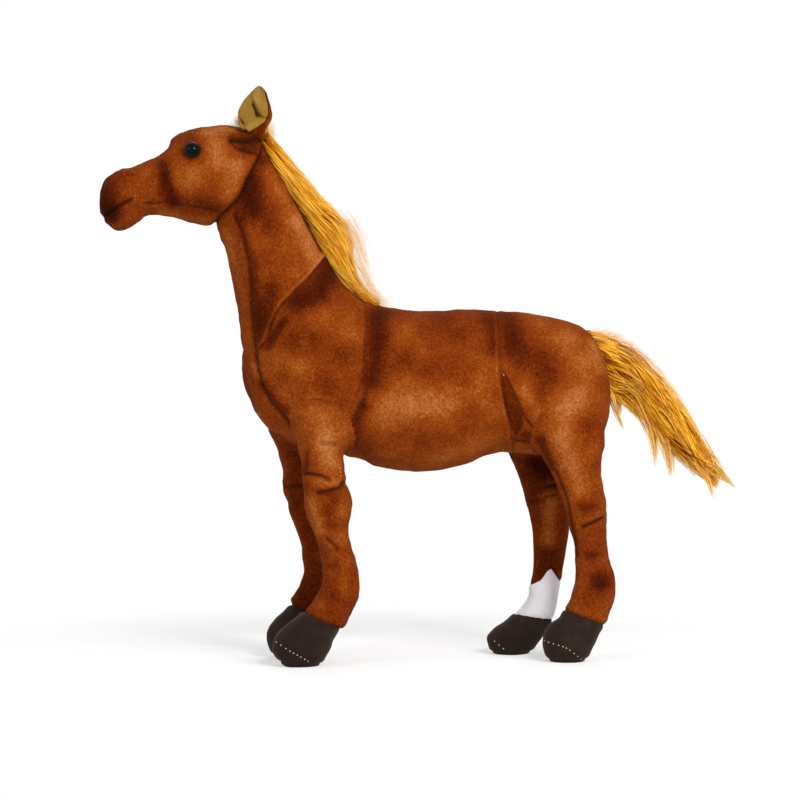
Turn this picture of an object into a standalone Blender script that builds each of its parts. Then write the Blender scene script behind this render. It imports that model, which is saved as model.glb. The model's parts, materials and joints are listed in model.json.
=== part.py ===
"""Plush horse, built as the sewn and stuffed pieces that it is made of.

The horse looks towards -X, its left side is towards -Y and +Z is up.
Every length is in metres. A stuffed form is a row of rings: each ring has a
front or upper point, a back or lower point and a half width, as shares of
the named sizes of its form.
"""
import math

import bmesh
import bpy
from mathutils import Matrix, Vector

# Trunk
BODY_SETBACK = 0.12345
BODY_LENGTH = 0.2583
BELLY_HEIGHT = 0.1316
BODY_DEPTH = 0.1463
BODY_WIDTH = 0.088

# Neck and head
NECK_REACH = 0.0896
NECK_RISE = 0.1365
NECK_WIDTH = 0.048
HEAD_LENGTH = 0.1106
HEAD_DEPTH = 0.0714
HEAD_WIDTH = 0.050

# Legs
FORE_LEG_REACH = 0.0532
FORE_LEG_WIDTH = 0.034
HIND_LEG_REACH = 0.0705
HIND_LEG_WIDTH = 0.038
RIGHT_FORE_FOOT_LAG = 0.0032
RIGHT_FORE_KNEE_LEAD = 0.0102
RIGHT_FORE_HIP_LEAD = 0.0115
RIGHT_HIND_FOOT_LEAD = 0.0290
RIGHT_HIND_KNEE_LEAD = 0.0190
RIGHT_HIND_HIP_LEAD = 0.0115
SOLE_THICKNESS = 0.0015

# Skins and their filling
SEAM_GAP = 0.0003
SKIN_DEPTH = 0.005
HOOF_DEPTH = 0.009

# Ears
EAR_HEIGHT = 0.0375
EAR_WIDTH = 0.0245
EAR_CUP = 0.0060
EAR_OUTER_WALL = 0.0016
EAR_LINING_WALL = 0.0012
EAR_LINING_GAP = 0.0004
EAR_ROOT_RADIUS = 0.0019

# Eyes
EYE_DIAMETER = 0.0115
EYE_DOME = 0.0046
EYE_RIM = 0.0008
EYE_SHANK_DIAMETER = 0.0044
EYE_SHANK_LENGTH = 0.0125
WASHER_DIAMETER = 0.0130
WASHER_THICKNESS = 0.0015
WASHER_DEPTH = 0.0072

# Tail
TAIL_REACH = 0.0980
TAIL_DROP = 0.1060
TAIL_WIDTH = 0.030
TAB_WIDTH = 0.0100
TAB_THICKNESS = 0.0016
TAB_LENGTH = 0.0085
TAB_BAR_RADIUS = 0.0020

# Mane
MANE_WIDTH = 0.024
BACKING_WIDTH = 0.0070
BACKING_SINK = 0.0026
BACKING_RISE = 0.0028

# Working sizes
CUTTER_REACH = 0.200
WELD_DISTANCE = 0.00001

TORSO_SIDES = 12
NECK_SIDES = 8
HEAD_SIDES = 8
LEG_SIDES = 8
MANE_SIDES = 8
EYE_STEPS = 16
ROOM_STEPS = 12
EAR_COLUMNS = 6
CORE_SIDES = 8
ROD_SIDES = 12
DOME_STEPS = 5
TONGUE_STEPS = 6
LOCK_SIDES = 6
LOCK_RINGS = 5

# Rings of the trunk, from the rump to the foot of the neck
TORSO_SHARES = [
    (1.003, 0.402, 1.003, 0.282, 0.12),
    (0.990, 0.560, 0.989, 0.167, 0.34),
    (0.952, 0.680, 0.957, 0.110, 0.43),
    (0.892, 0.718, 0.883, 0.096, 0.47),
    (0.797, 0.756, 0.789, 0.091, 0.48),
    (0.702, 0.770, 0.702, 0.091, 0.47),
    (0.607, 0.775, 0.599, 0.024, 0.49),
    (0.499, 0.766, 0.485, -0.010, 0.50),
    (0.398, 0.785, 0.366, 0.019, 0.49),
    (0.328, 0.823, 0.241, 0.091, 0.48),
    (0.282, 0.890, 0.118, 0.150, 0.47),
    (0.252, 0.957, 0.026, 0.300, 0.42),
    (0.236, 1.000, -0.003, 0.470, 0.36),
    (0.220, 1.038, 0.000, 0.603, 0.31),
]
# Rings of the neck, from inside the shoulders to inside the head
NECK_SHARES = [
    (-0.391, -0.154, 0.391, 0.179, 0.59),
    (-0.469, 0.051, 0.297, 0.359, 0.53),
    (-0.508, 0.231, 0.219, 0.456, 0.50),
    (-0.555, 0.410, 0.109, 0.585, 0.46),
    (-0.617, 0.559, 0.000, 0.718, 0.42),
    (-0.688, 0.718, -0.125, 0.862, 0.38),
    (-0.703, 0.846, -0.234, 0.990, 0.34),
    (-0.664, 0.923, -0.328, 1.051, 0.28),
]
# Rings of the head, from the poll to the lips
HEAD_SHARES = [
    (0.101, 0.186, 0.089, -0.029, 0.17),
    (0.063, 0.304, 0.038, -0.206, 0.34),
    (-0.013, 0.360, -0.025, -0.392, 0.43),
    (-0.114, 0.378, -0.127, -0.549, 0.49),
    (-0.228, 0.367, -0.241, -0.598, 0.50),
    (-0.335, 0.363, -0.348, -0.559, 0.46),
    (-0.430, 0.205, -0.437, -0.510, 0.38),
    (-0.519, 0.090, -0.525, -0.490, 0.32),
    (-0.614, 0.015, -0.614, -0.500, 0.29),
    (-0.705, -0.050, -0.700, -0.625, 0.33),
    (-0.795, -0.105, -0.782, -0.645, 0.34),
    (-0.853, -0.190, -0.842, -0.560, 0.28),
    (-0.876, -0.290, -0.876, -0.470, 0.17),
]
# Rings of a fore leg, from inside the shoulder to inside the hoof
FORE_LEG_SHARES = [
    (-0.440, 1.000, 0.440, 1.000, 0.34),
    (-0.450, 0.893, 0.440, 0.857, 0.46),
    (-0.370, 0.810, 0.344, 0.778, 0.46),
    (-0.280, 0.703, 0.258, 0.696, 0.40),
    (-0.266, 0.599, 0.370, 0.606, 0.39),
    (-0.253, 0.538, 0.370, 0.542, 0.38),
    (-0.149, 0.481, 0.292, 0.481, 0.32),
    (-0.030, 0.390, 0.390, 0.394, 0.30),
    (-0.006, 0.292, 0.461, 0.295, 0.33),
    (-0.123, 0.238, 0.435, 0.224, 0.37),
    (-0.266, 0.191, 0.266, 0.138, 0.41),
    (-0.305, 0.152, 0.188, 0.095, 0.38),
]
FORE_HOOF_SHARES = [
    (-0.201, 0.238, 0.266, 0.177, 0.38),
    (-0.266, 0.191, 0.240, 0.131, 0.41),
    (-0.560, 0.143, 0.125, 0.072, 0.43),
    (-0.735, 0.083, 0.020, 0.026, 0.45),
    (-0.640, -0.002, -0.060, -0.002, 0.42),
    (-0.535, -0.024, -0.160, -0.024, 0.30),
]
# Rings of a hind leg, from inside the hip to inside the hoof
HIND_LEG_SHARES = [
    (-0.440, 1.000, 0.460, 1.000, 0.36),
    (-0.402, 0.875, 0.461, 0.857, 0.46),
    (-0.275, 0.785, 0.422, 0.775, 0.45),
    (-0.108, 0.684, 0.387, 0.675, 0.38),
    (0.000, 0.589, 0.441, 0.589, 0.32),
    (0.078, 0.500, 0.446, 0.500, 0.27),
    (0.147, 0.410, 0.451, 0.410, 0.25),
    (0.157, 0.310, 0.510, 0.315, 0.29),
    (0.118, 0.245, 0.539, 0.242, 0.33),
    (0.020, 0.188, 0.441, 0.131, 0.36),
    (-0.010, 0.152, 0.382, 0.098, 0.34),
]
HIND_HOOF_SHARES = [
    (0.088, 0.231, 0.441, 0.177, 0.34),
    (0.020, 0.188, 0.422, 0.131, 0.36),
    (-0.142, 0.141, 0.355, 0.080, 0.38),
    (-0.228, 0.078, 0.290, 0.028, 0.40),
    (-0.155, -0.002, 0.235, -0.002, 0.37),
    (-0.050, -0.024, 0.140, -0.024, 0.26),
]
# The right hind leg stands forward on a lower hoof
RIGHT_HIND_LEG_SHARES = HIND_LEG_SHARES[:-7] + [
    (0.000, 0.589, 0.455, 0.589, 0.32),
    (0.070, 0.500, 0.485, 0.500, 0.28),
    (0.132, 0.410, 0.485, 0.410, 0.26),
    (0.150, 0.310, 0.450, 0.315, 0.28),
    (0.150, 0.235, 0.450, 0.235, 0.31),
    (0.005, 0.150, 0.430, 0.126, 0.36),
    (-0.020, 0.120, 0.382, 0.095, 0.34),
]
RIGHT_HIND_HOOF_SHARES = [
    (0.060, 0.195, 0.450, 0.170, 0.34),
    (0.005, 0.150, 0.430, 0.126, 0.36),
    (-0.135, 0.112, 0.355, 0.074, 0.38),
    (-0.262, 0.066, 0.285, 0.028, 0.40),
    (-0.180, -0.002, 0.220, -0.002, 0.37),
    (-0.069, -0.024, 0.127, -0.024, 0.26),
]
# Rings of the mane, along the crest, in the neck's own shares
MANE_SHARES = [
    (-0.290, 1.062, -0.262, 1.110, 0.18),
    (-0.214, 0.966, -0.125, 1.020, 0.36),
    (-0.112, 0.848, 0.039, 0.892, 0.44),
    (-0.002, 0.720, 0.203, 0.764, 0.47),
    (0.104, 0.590, 0.362, 0.652, 0.50),
    (0.205, 0.465, 0.485, 0.522, 0.50),
    (0.330, 0.330, 0.548, 0.390, 0.48),
    (0.470, 0.246, 0.625, 0.300, 0.40),
    (0.600, 0.205, 0.710, 0.215, 0.20),
]
# Rings of the forelock between the ears, in the head's own shares
FORELOCK_SHARES = [
    (-0.070, 0.385, -0.070, 0.340, 0.06),
    (-0.020, 0.425, -0.015, 0.330, 0.12),
    (0.040, 0.430, 0.045, 0.290, 0.13),
    (0.110, 0.395, 0.110, 0.240, 0.12),
    (0.150, 0.330, 0.145, 0.230, 0.06),
]
# Rings of the tail from its nose: upper point, lower point, half width
TAIL_SHARES = [
    (0.075, -0.045, 0.062, 0.045, 0.12),
    (0.200, -0.045, 0.140, 0.135, 0.26),
    (0.350, 0.026, 0.208, 0.378, 0.38),
    (0.570, 0.225, 0.360, 0.565, 0.46),
    (0.720, 0.430, 0.510, 0.723, 0.48),
    (0.842, 0.620, 0.665, 0.842, 0.44),
    (0.935, 0.795, 0.810, 0.925, 0.32),
    (1.040, 0.970, 1.005, 0.995, 0.12),
]
# Hanging locks of the tail: start, middle and tip in the tail's shares, radius share, side share
TAIL_LOCK_SHARES = [
    ((0.290, 0.300), (0.262, 0.460), (0.245, 0.600), 0.12, 0.04),
    ((0.430, 0.500), (0.470, 0.700), (0.500, 0.880), 0.18, -0.11),
    ((0.540, 0.620), (0.605, 0.800), (0.630, 0.960), 0.17, 0.13),
    ((0.780, 0.860), (0.870, 0.980), (0.920, 1.070), 0.15, -0.05),
]
# Outline of the ear: height share, width share, cup share
EAR_SHARES = [
    (0.00, 0.66, 0.05),
    (0.14, 0.88, 0.50),
    (0.34, 1.00, 0.90),
    (0.58, 0.86, 1.00),
    (0.80, 0.54, 0.90),
    (0.94, 0.24, 0.75),
    (1.00, 0.08, 0.70),
]
# Seams of the trunk in its own shares: shoulder to barrel, barrel to hindquarter
SHOULDER_SEAM_SHARES = [
    (0.335, 1.300),
    (0.341, 0.775),
    (0.344, 0.608),
    (0.333, 0.426),
    (0.317, 0.273),
    (0.282, 0.153),
    (0.255, 0.050),
    (0.235, -0.300),
]
FLANK_SEAM_SHARES = [
    (0.692, 1.300),
    (0.694, 0.766),
    (0.699, 0.646),
    (0.701, 0.464),
    (0.710, 0.354),
    (0.729, 0.220),
    (0.734, 0.100),
    (0.734, -0.300),
]
# Upper edge of the white sock in the hind leg's shares
SOCK_EDGE_SHARES = [
    (-0.600, 0.250),
    (0.140, 0.255),
    (0.220, 0.275),
    (0.265, 0.306),
    (0.310, 0.318),
    (0.420, 0.270),
    (0.540, 0.262),
    (1.300, 0.262),
]
TORSO_END_SHARES = (-1.0, 2.0)
SEAM_OVERRUN_SHARES = (3.0, 1.2)

WITHERS_SHARES = (0.336, 0.830)
NECK_CORNER_SHARES = (-0.5076, -0.2433)
HEAD_CORNER_SHARES = (-0.469, 0.923)
LEG_TOP_SHARE = 0.42
LEG_TRACK_SHARE = 0.59
FORE_LEG_PLACE_SHARE = 0.2125
HIND_LEG_PLACE_SHARE = 0.859
KNEE_SHARE = 0.42
TAIL_PLACE_SHARE = 2
EYE_PLACE_SHARES = (4.75, 0.341)
EYE_TILT_SHARE = 0.45
EAR_PLACE_SHARES = (1.18, 0.20)
EAR_LEAN_SHARES = (0.27, 0.30, 1.0)
EAR_ROOT_SHARE = 0.5
EAR_LEVEL_SHARE = 0.45
EAR_LINING_WIDTH_SHARE = 0.80
EAR_LINING_SPAN_SHARES = (0.13, 0.93)
TAIL_AXIS_SHARES = (0.90, -0.38)
TAIL_SWING = math.radians(30)
TAB_NECK_SHARE = 0.6
LOCK_TIP_SHARE = 0.15
BACKING_SPAN_SHARES = (0.06, 0.94)

BODY_PICKS = (1, 3, 5, 7, 9, 11, 12)
NECK_PICKS = (0, 2, 4, 6)
HEAD_PICKS = (1, 3, 5, 7, 9, 11)
FORE_LEG_PICKS = (1, 3, 5, 7, 9)
HIND_LEG_PICKS = (1, 3, 5, 7, 8)
HOOF_PICKS = (2, 3)

# Colours and roughness
CHESTNUT = (0.30, 0.085, 0.018)
GOLD = (0.62, 0.27, 0.02)
OLIVE = (0.32, 0.17, 0.04)
HOOF_FELT = (0.032, 0.017, 0.014)
SOCK_WHITE = (0.72, 0.68, 0.64)
EYE_BLACK = (0.006, 0.004, 0.004)
WASHER_PLASTIC = (0.75, 0.74, 0.70)
FIBRE_WHITE = (0.85, 0.85, 0.83)
TAPE_TAN = (0.45, 0.25, 0.09)
PLUSH_ROUGHNESS = 0.9
GLOSS_ROUGHNESS = 0.08
PLASTIC_ROUGHNESS = 0.5


def clear_scene():
    for item in list(bpy.data.objects):
        bpy.data.objects.remove(item, do_unlink=True)


def new_collection(name):
    group = bpy.data.collections.new(name)
    bpy.context.scene.collection.children.link(group)
    return group


clear_scene()
PARTS = new_collection("plush_horse")
CUTTERS = new_collection("cutters")


def finish_material(name, colour, roughness):
    material = bpy.data.materials.new(name)
    material.use_nodes = True
    shader = material.node_tree.nodes["Principled BSDF"]
    shader.inputs["Base Color"].default_value = (*colour, 1.0)
    shader.inputs["Roughness"].default_value = roughness
    shader.inputs["Metallic"].default_value = 0.0
    return material


def add_part(name, mesh, colour, roughness=PLUSH_ROUGHNESS):
    part = bpy.data.objects.new(name, mesh)
    PARTS.objects.link(part)
    part.data.materials.append(finish_material(name, colour, roughness))
    part.data.shade_smooth()
    return part


def add_cutter(name, mesh):
    cutter = bpy.data.objects.new(name, mesh)
    CUTTERS.objects.link(cutter)
    cutter.hide_render = True
    cutter.display_type = "WIRE"
    return cutter


def boolean(part, other, operation):
    cut = part.modifiers.new(other.name, "BOOLEAN")
    cut.operation = operation
    cut.solver = "EXACT"
    cut.object = other


def facet(part):
    """Splits every quad the same way in a part and in the cutter made from it."""
    split = part.modifiers.new("facets", "TRIANGULATE")
    split.quad_method = "FIXED"


def soften(part):
    smooth = part.modifiers.new("soften", "SUBSURF")
    smooth.levels = 1
    smooth.render_levels = 1


def inflate(part, distance):
    swell = part.modifiers.new("clearance", "DISPLACE")
    swell.direction = "NORMAL"
    swell.mid_level = 0.0
    swell.strength = distance


def mesh_from(work, name):
    bmesh.ops.recalc_face_normals(work, faces=work.faces)
    mesh = bpy.data.meshes.new(name)
    work.to_mesh(mesh)
    work.free()
    return mesh


def lead_at(leads, z_share):
    """How far forward a leg stands at a share of its height, from its foot, knee and hip."""
    foot, knee, hip = leads
    if z_share < KNEE_SHARE:
        return foot + (knee - foot) * z_share / KNEE_SHARE
    return knee + (hip - knee) * (z_share - KNEE_SHARE) / (1 - KNEE_SHARE)


def rings_of(shares, corner, reach, rise, width, side=0.0, leads=(0.0, 0.0, 0.0)):
    """Each ring as its centre, its half height and its half width."""
    rings = []
    for front_x, front_z, back_x, back_z, half in shares:
        ends = []
        for x_share, z_share in ((front_x, front_z), (back_x, back_z)):
            x = corner[0] + x_share * reach - lead_at(leads, z_share)
            ends.append(Vector((x, side, corner[1] + z_share * rise)))
        centre = (ends[0] + ends[1]) / 2
        rings.append((centre, ends[0] - centre, Vector((0.0, half * width, 0.0))))
    return rings


def ring_point(ring, turn, stretch=1.0):
    """A point of the ring at a share of a whole turn from its front or upper point."""
    centre, rise, side = ring
    angle = turn * math.tau
    return centre + (rise * math.cos(angle) + side * math.sin(angle)) * stretch


def loft(name, rings, sides, stretch):
    work = bmesh.new()
    loops = []
    for ring in rings:
        points = [ring_point(ring, step / sides, stretch) for step in range(sides)]
        loops.append([work.verts.new(point) for point in points])
    for near, far in zip(loops, loops[1:]):
        for step in range(sides):
            after = (step + 1) % sides
            work.faces.new((near[step], near[after], far[after], far[step]))
    work.faces.new(loops[0])
    work.faces.new(loops[-1])
    return mesh_from(work, name)


def cage(name, rings, sides):
    """A loft whose cage stands out, so that the softened form has the rings' own size."""
    pull = 2.0 / 3.0 + math.cos(math.tau / sides) / 3.0
    return loft(name, rings, sides, 1.0 / pull)


def stuffed_part(name, rings, sides, colour):
    part = add_part(name, cage(name, rings, sides), colour)
    soften(part)
    facet(part)
    return part


def stuffed_cutter(name, rings, sides, clearance=SEAM_GAP):
    cutter = add_cutter(name, cage(name, rings, sides))
    soften(cutter)
    facet(cutter)
    inflate(cutter, clearance)
    return cutter


def core_rings(rings, picks, depth):
    """The chosen rings drawn in by the depth of the skin."""
    inner = []
    for pick in picks:
        centre, rise, side = rings[pick]
        drawn_rise = rise.normalized() * max(rise.length - depth, depth / 2)
        drawn_side = side.normalized() * max(side.length - depth, depth / 2)
        inner.append((centre, drawn_rise, drawn_side))
    return inner


def filling(name, rings):
    """A filling and the cutter that makes its room inside the skins."""
    part = add_part(name, loft(name, rings, CORE_SIDES, 1.0), FIBRE_WHITE)
    facet(part)
    room = add_cutter(name + "_room", loft(name + "_room", rings, CORE_SIDES, 1.0))
    facet(room)
    inflate(room, SEAM_GAP)
    return part, room


def outline_solid(name, outline, half_depth):
    """A flat outline in the side view, as thick as twice the half depth."""
    curve = bpy.data.curves.new(name, "CURVE")
    curve.dimensions = "2D"
    curve.fill_mode = "BOTH"
    curve.extrude = half_depth
    spline = curve.splines.new("POLY")
    spline.points.add(len(outline) - 1)
    for point, (x, z) in zip(spline.points, outline):
        point.co = (x, z, 0.0, 1.0)
    spline.use_cyclic_u = True
    drawn = bpy.data.objects.new(name, curve)
    bpy.context.scene.collection.objects.link(drawn)
    drawn.matrix_world = Matrix.Rotation(math.radians(90), 4, "X")
    return solid_of(drawn)


def solid_of(drawn):
    """The evaluated curve as a welded mesh in world space. The curve is removed."""
    bpy.context.view_layer.update()
    graph = bpy.context.evaluated_depsgraph_get()
    mesh = bpy.data.meshes.new_from_object(drawn.evaluated_get(graph))
    mesh.transform(drawn.matrix_world)
    bpy.data.objects.remove(drawn, do_unlink=True)
    work = bmesh.new()
    work.from_mesh(mesh)
    bmesh.ops.remove_doubles(work, verts=work.verts, dist=WELD_DISTANCE)
    bpy.data.meshes.remove(mesh)
    return mesh_from(work, "solid")


def turned(name, profile, place, steps):
    """A mesh turned about local Z from a profile that runs down its outer side."""
    work = bmesh.new()
    points = [work.verts.new((x, 0.0, z)) for x, z in profile]
    for upper, lower in zip(points, points[1:]):
        work.edges.new((upper, lower))
    bmesh.ops.spin(
        work, geom=work.verts[:] + work.edges[:], cent=(0.0, 0.0, 0.0), axis=(0.0, 0.0, 1.0),
        dvec=(0.0, 0.0, 0.0), angle=math.tau, steps=steps, use_merge=True, use_duplicate=False)
    bmesh.ops.remove_doubles(work, verts=work.verts, dist=WELD_DISTANCE)
    bmesh.ops.transform(work, matrix=place, verts=work.verts)
    return mesh_from(work, name)


def turned_frame(place, direction):
    """A frame at a place, whose local Z is a direction."""
    return Matrix.Translation(place) @ direction.to_track_quat("Z", "Y").to_matrix().to_4x4()


def rod(name, start, end, radius):
    """A cylinder from start to end."""
    work = bmesh.new()
    along = end - start
    place = turned_frame((start + end) / 2, along)
    bmesh.ops.create_cone(
        work, cap_ends=True, segments=ROD_SIDES, radius1=radius, radius2=radius,
        depth=along.length, matrix=place)
    return mesh_from(work, name)


def add_hinge(name, place, direction):
    """An empty on a joint, whose local Z is the joint's axis."""
    hinge = bpy.data.objects.new(name, None)
    hinge.matrix_world = turned_frame(place, direction)
    PARTS.objects.link(hinge)
    return hinge


def hang_on(hinge, *pieces):
    bpy.context.view_layer.update()
    for piece in pieces:
        piece.parent = hinge
        piece.matrix_parent_inverse = hinge.matrix_world.inverted()


def trunk_point(x_share, z_share):
    return (x_share * BODY_LENGTH - BODY_SETBACK, BELLY_HEIGHT + z_share * BODY_DEPTH)


def neck_corner():
    """Set from the withers, so that the foot of the mane keeps to them."""
    x, z = trunk_point(*WITHERS_SHARES)
    across, up = NECK_CORNER_SHARES
    return (x + across * NECK_REACH, z + up * NECK_RISE)


def head_corner():
    x, z = neck_corner()
    across, up = HEAD_CORNER_SHARES
    return (x + across * NECK_REACH, z + up * NECK_RISE)


TORSO_RINGS = rings_of(TORSO_SHARES, trunk_point(0.0, 0.0), BODY_LENGTH, BODY_DEPTH, BODY_WIDTH)
NECK_RINGS = rings_of(NECK_SHARES, neck_corner(), NECK_REACH, NECK_RISE, NECK_WIDTH)
HEAD_RINGS = rings_of(HEAD_SHARES, head_corner(), HEAD_LENGTH, HEAD_DEPTH, HEAD_WIDTH)
LEG_HEIGHT = BELLY_HEIGHT + LEG_TOP_SHARE * BODY_DEPTH
LEG_SIDE = LEG_TRACK_SHARE * BODY_WIDTH / 2


def trunk_outline(front_seam, back_seam):
    """The side outline between two seams, each drawn in by half the seam gap."""
    outline = []
    for shares in front_seam:
        x, z = trunk_point(*shares)
        outline.append((x + SEAM_GAP / 2, z))
    for shares in reversed(back_seam):
        x, z = trunk_point(*shares)
        outline.append((x - SEAM_GAP / 2, z))
    return outline


def straight_seam(x_share):
    return [(x_share, SHOULDER_SEAM_SHARES[0][1]), (x_share, SHOULDER_SEAM_SHARES[-1][1])]


def make_trunk():
    body_room = filling("body_filling", core_rings(TORSO_RINGS, BODY_PICKS, SKIN_DEPTH))[1]
    seams = {
        "forequarter_skin": (straight_seam(TORSO_END_SHARES[0]), SHOULDER_SEAM_SHARES),
        "barrel_skin": (SHOULDER_SEAM_SHARES, FLANK_SEAM_SHARES),
        "hindquarter_skin": (FLANK_SEAM_SHARES, straight_seam(TORSO_END_SHARES[1])),
    }
    skins = {}
    for name, (front, back) in seams.items():
        skin = stuffed_part(name, TORSO_RINGS, TORSO_SIDES, CHESTNUT)
        block = outline_solid(name + "_span", trunk_outline(front, back), CUTTER_REACH)
        boolean(skin, add_cutter(name + "_span", block), "INTERSECT")
        boolean(skin, body_room, "DIFFERENCE")
        skins[name] = skin
    return skins


def make_neck(torso_clear):
    skin = stuffed_part("neck_skin", NECK_RINGS, NECK_SIDES, CHESTNUT)
    core, room = filling("neck_filling", core_rings(NECK_RINGS, NECK_PICKS, SKIN_DEPTH))
    boolean(skin, torso_clear, "DIFFERENCE")
    boolean(skin, room, "DIFFERENCE")
    boolean(core, torso_clear, "DIFFERENCE")
    return skin


def blended_ring(rings, place):
    """A ring between two neighbours: the place counts rings from the first one."""
    index = min(int(place), len(rings) - 2)
    share = place - index
    near, far = rings[index], rings[index + 1]
    return tuple(a.lerp(b, share) for a, b in zip(near, far))


def softened_top(rings, index):
    """The upper point of a ring once its form is softened: two parts in three its own."""
    tops = [ring_point(rings[pick], 0.0) for pick in (index - 1, index, index + 1)]
    return tops[1].lerp((tops[0] + tops[2]) / 2, 1.0 / 3.0)


def side_point(rings, place, turn, side):
    """A point of a form's surface. Side is -1 on the horse's left and 1 on its right."""
    point = ring_point(blended_ring(rings, place), turn)
    return Vector((point.x, side * abs(point.y), point.z))


def side_normal(rings, place, turn, side):
    """The outward direction there, across the ring only."""
    centre, rise, half = blended_ring(rings, place)
    angle = turn * math.tau
    out = rise.normalized() * math.cos(angle) / rise.length
    out += half.normalized() * math.sin(angle) / half.length
    out.normalize()
    return Vector((out.x, side * abs(out.y), out.z))


def eye_profile(clearance, washer=()):
    """Dome, rim and shank, from the top of the dome down, with the washer on the shank if given."""
    radius = EYE_DIAMETER / 2 + clearance
    dome = EYE_DOME + clearance
    shank = EYE_SHANK_DIAMETER / 2 + clearance
    profile = []
    for step in range(DOME_STEPS + 1):
        angle = step / DOME_STEPS * math.pi / 2
        profile.append((radius * math.sin(angle), dome * math.cos(angle)))
    profile.append((radius, -EYE_RIM - clearance))
    profile.append((shank, -EYE_RIM - clearance))
    profile.extend(washer)
    profile.append((shank, -EYE_SHANK_LENGTH - clearance))
    profile.append((0.0, -EYE_SHANK_LENGTH - clearance))
    return profile


def washer_profile(clearance, hole):
    outer = WASHER_DIAMETER / 2 + clearance
    top = clearance - WASHER_DEPTH
    bottom = -WASHER_DEPTH - WASHER_THICKNESS - clearance
    return [(hole, top), (outer, top), (outer, bottom), (hole, bottom)]


def eye_place(side):
    place, turn = EYE_PLACE_SHARES
    point = side_point(HEAD_RINGS, place, turn / 2, side)
    out = side_normal(HEAD_RINGS, place, turn / 2, side)
    out.z *= EYE_TILT_SHARE
    out.normalize()
    return turned_frame(point, out)


def make_eye(name, side, head, head_core):
    place = eye_place(side)
    eye_mesh = turned("eye_" + name, eye_profile(0.0), place, EYE_STEPS)
    add_part("eye_" + name, eye_mesh, EYE_BLACK, GLOSS_ROUGHNESS)
    hole = EYE_SHANK_DIAMETER / 2 + SEAM_GAP
    profile = washer_profile(0.0, hole)
    washer_mesh = turned("eye_washer_" + name, profile + profile[:1], place, EYE_STEPS)
    add_part("eye_washer_" + name, washer_mesh, WASHER_PLASTIC, PLASTIC_ROUGHNESS)
    room_profile = eye_profile(SEAM_GAP, washer_profile(SEAM_GAP, hole))
    room = add_cutter("eye_room_" + name, turned("eye_room_" + name, room_profile, place, ROOM_STEPS))
    boolean(head, room, "DIFFERENCE")
    boolean(head_core, room, "DIFFERENCE")


def ear_frame(side):
    """Root point, root axis, rib direction and the direction that the ear opens to."""
    place, turn = EAR_PLACE_SHARES
    root = side_point(HEAD_RINGS, place, turn / 2, side)
    ahead = side_point(HEAD_RINGS, place + EAR_ROOT_SHARE, turn / 2, side)
    behind = side_point(HEAD_RINGS, place - EAR_ROOT_SHARE, turn / 2, side)
    axis = (behind - ahead).normalized()
    rib = Vector((EAR_LEAN_SHARES[0], side * EAR_LEAN_SHARES[1], EAR_LEAN_SHARES[2])).normalized()
    opening = rib.cross(axis) if side > 0 else axis.cross(rib)
    return root, axis, rib, opening.normalized()


def ear_leaf(name, side, width_share, span):
    """The open, cupped sheet of an ear. Its faces look towards the opening."""
    root, axis, rib, opening = ear_frame(side)
    level = Vector((axis.x, axis.y, axis.z * EAR_LEVEL_SHARE)).normalized()
    work = bmesh.new()
    rows = []
    for height_share, own_width in doubled([row[:2] for row in EAR_SHARES]):
        height = span[0] + (span[1] - span[0]) * height_share
        full_width, cup = ear_section(height)
        across_axis = axis.lerp(level, height).normalized()
        row = []
        for column in range(EAR_COLUMNS + 1):
            across = (2 * column / EAR_COLUMNS - 1) * own_width * width_share
            point = root + rib * (height * EAR_HEIGHT)
            point += across_axis * (across * EAR_WIDTH / 2)
            point += opening * ((across / full_width) ** 2 * cup * EAR_CUP)
            row.append(work.verts.new(point))
        rows.append(row if side < 0 else row[::-1])
    for low, high in zip(rows, rows[1:]):
        for left in range(EAR_COLUMNS):
            work.faces.new((low[left], low[left + 1], high[left + 1], high[left]))
    mesh = bpy.data.meshes.new(name)
    work.to_mesh(mesh)
    work.free()
    return mesh


def ear_section(height):
    """The full width share and cup share of the ear at a share of its height."""
    for low, high in zip(EAR_SHARES, EAR_SHARES[1:]):
        if height <= high[0]:
            share = (height - low[0]) / (high[0] - low[0])
            return low[1] + (high[1] - low[1]) * share, low[2] + (high[2] - low[2]) * share
    return EAR_SHARES[-1][1], EAR_SHARES[-1][2]


def doubled(table):
    """The rows of a table with one between each two."""
    rows = [table[0]]
    for near, far in zip(table, table[1:]):
        rows.append(tuple((a + b) / 2 for a, b in zip(near, far)))
        rows.append(far)
    return rows


def make_ear(name, side, head):
    root, axis = ear_frame(side)[:2]
    outer_mesh = ear_leaf("ear_outer_" + name, side, 1.0, (0.0, 1.0))
    outer = add_part("ear_outer_" + name, outer_mesh, CHESTNUT)
    wall = outer.modifiers.new("wall", "SOLIDIFY")
    wall.thickness = EAR_OUTER_WALL
    wall.offset = -1.0
    half_root = axis * (EAR_SHARES[0][1] * EAR_WIDTH / 2)
    fold = rod("ear_fold", root - half_root, root + half_root, EAR_ROOT_RADIUS)
    boolean(outer, add_cutter("ear_fold_" + name, fold), "UNION")
    lining_mesh = ear_leaf("ear_lining_" + name, side, EAR_LINING_WIDTH_SHARE, EAR_LINING_SPAN_SHARES)
    lining = add_part("ear_lining_" + name, lining_mesh, OLIVE)
    inflate(lining, EAR_LINING_GAP)
    cloth = lining.modifiers.new("cloth", "SOLIDIFY")
    cloth.thickness = EAR_LINING_WALL
    cloth.offset = 1.0
    half_room = half_root + axis * SEAM_GAP
    groove = rod("ear_groove", root - half_room, root + half_room, EAR_ROOT_RADIUS + SEAM_GAP)
    boolean(head, add_cutter("ear_groove_" + name, groove), "DIFFERENCE")
    hang_on(add_hinge("ear_hinge_" + name, root, axis), outer, lining)


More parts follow.
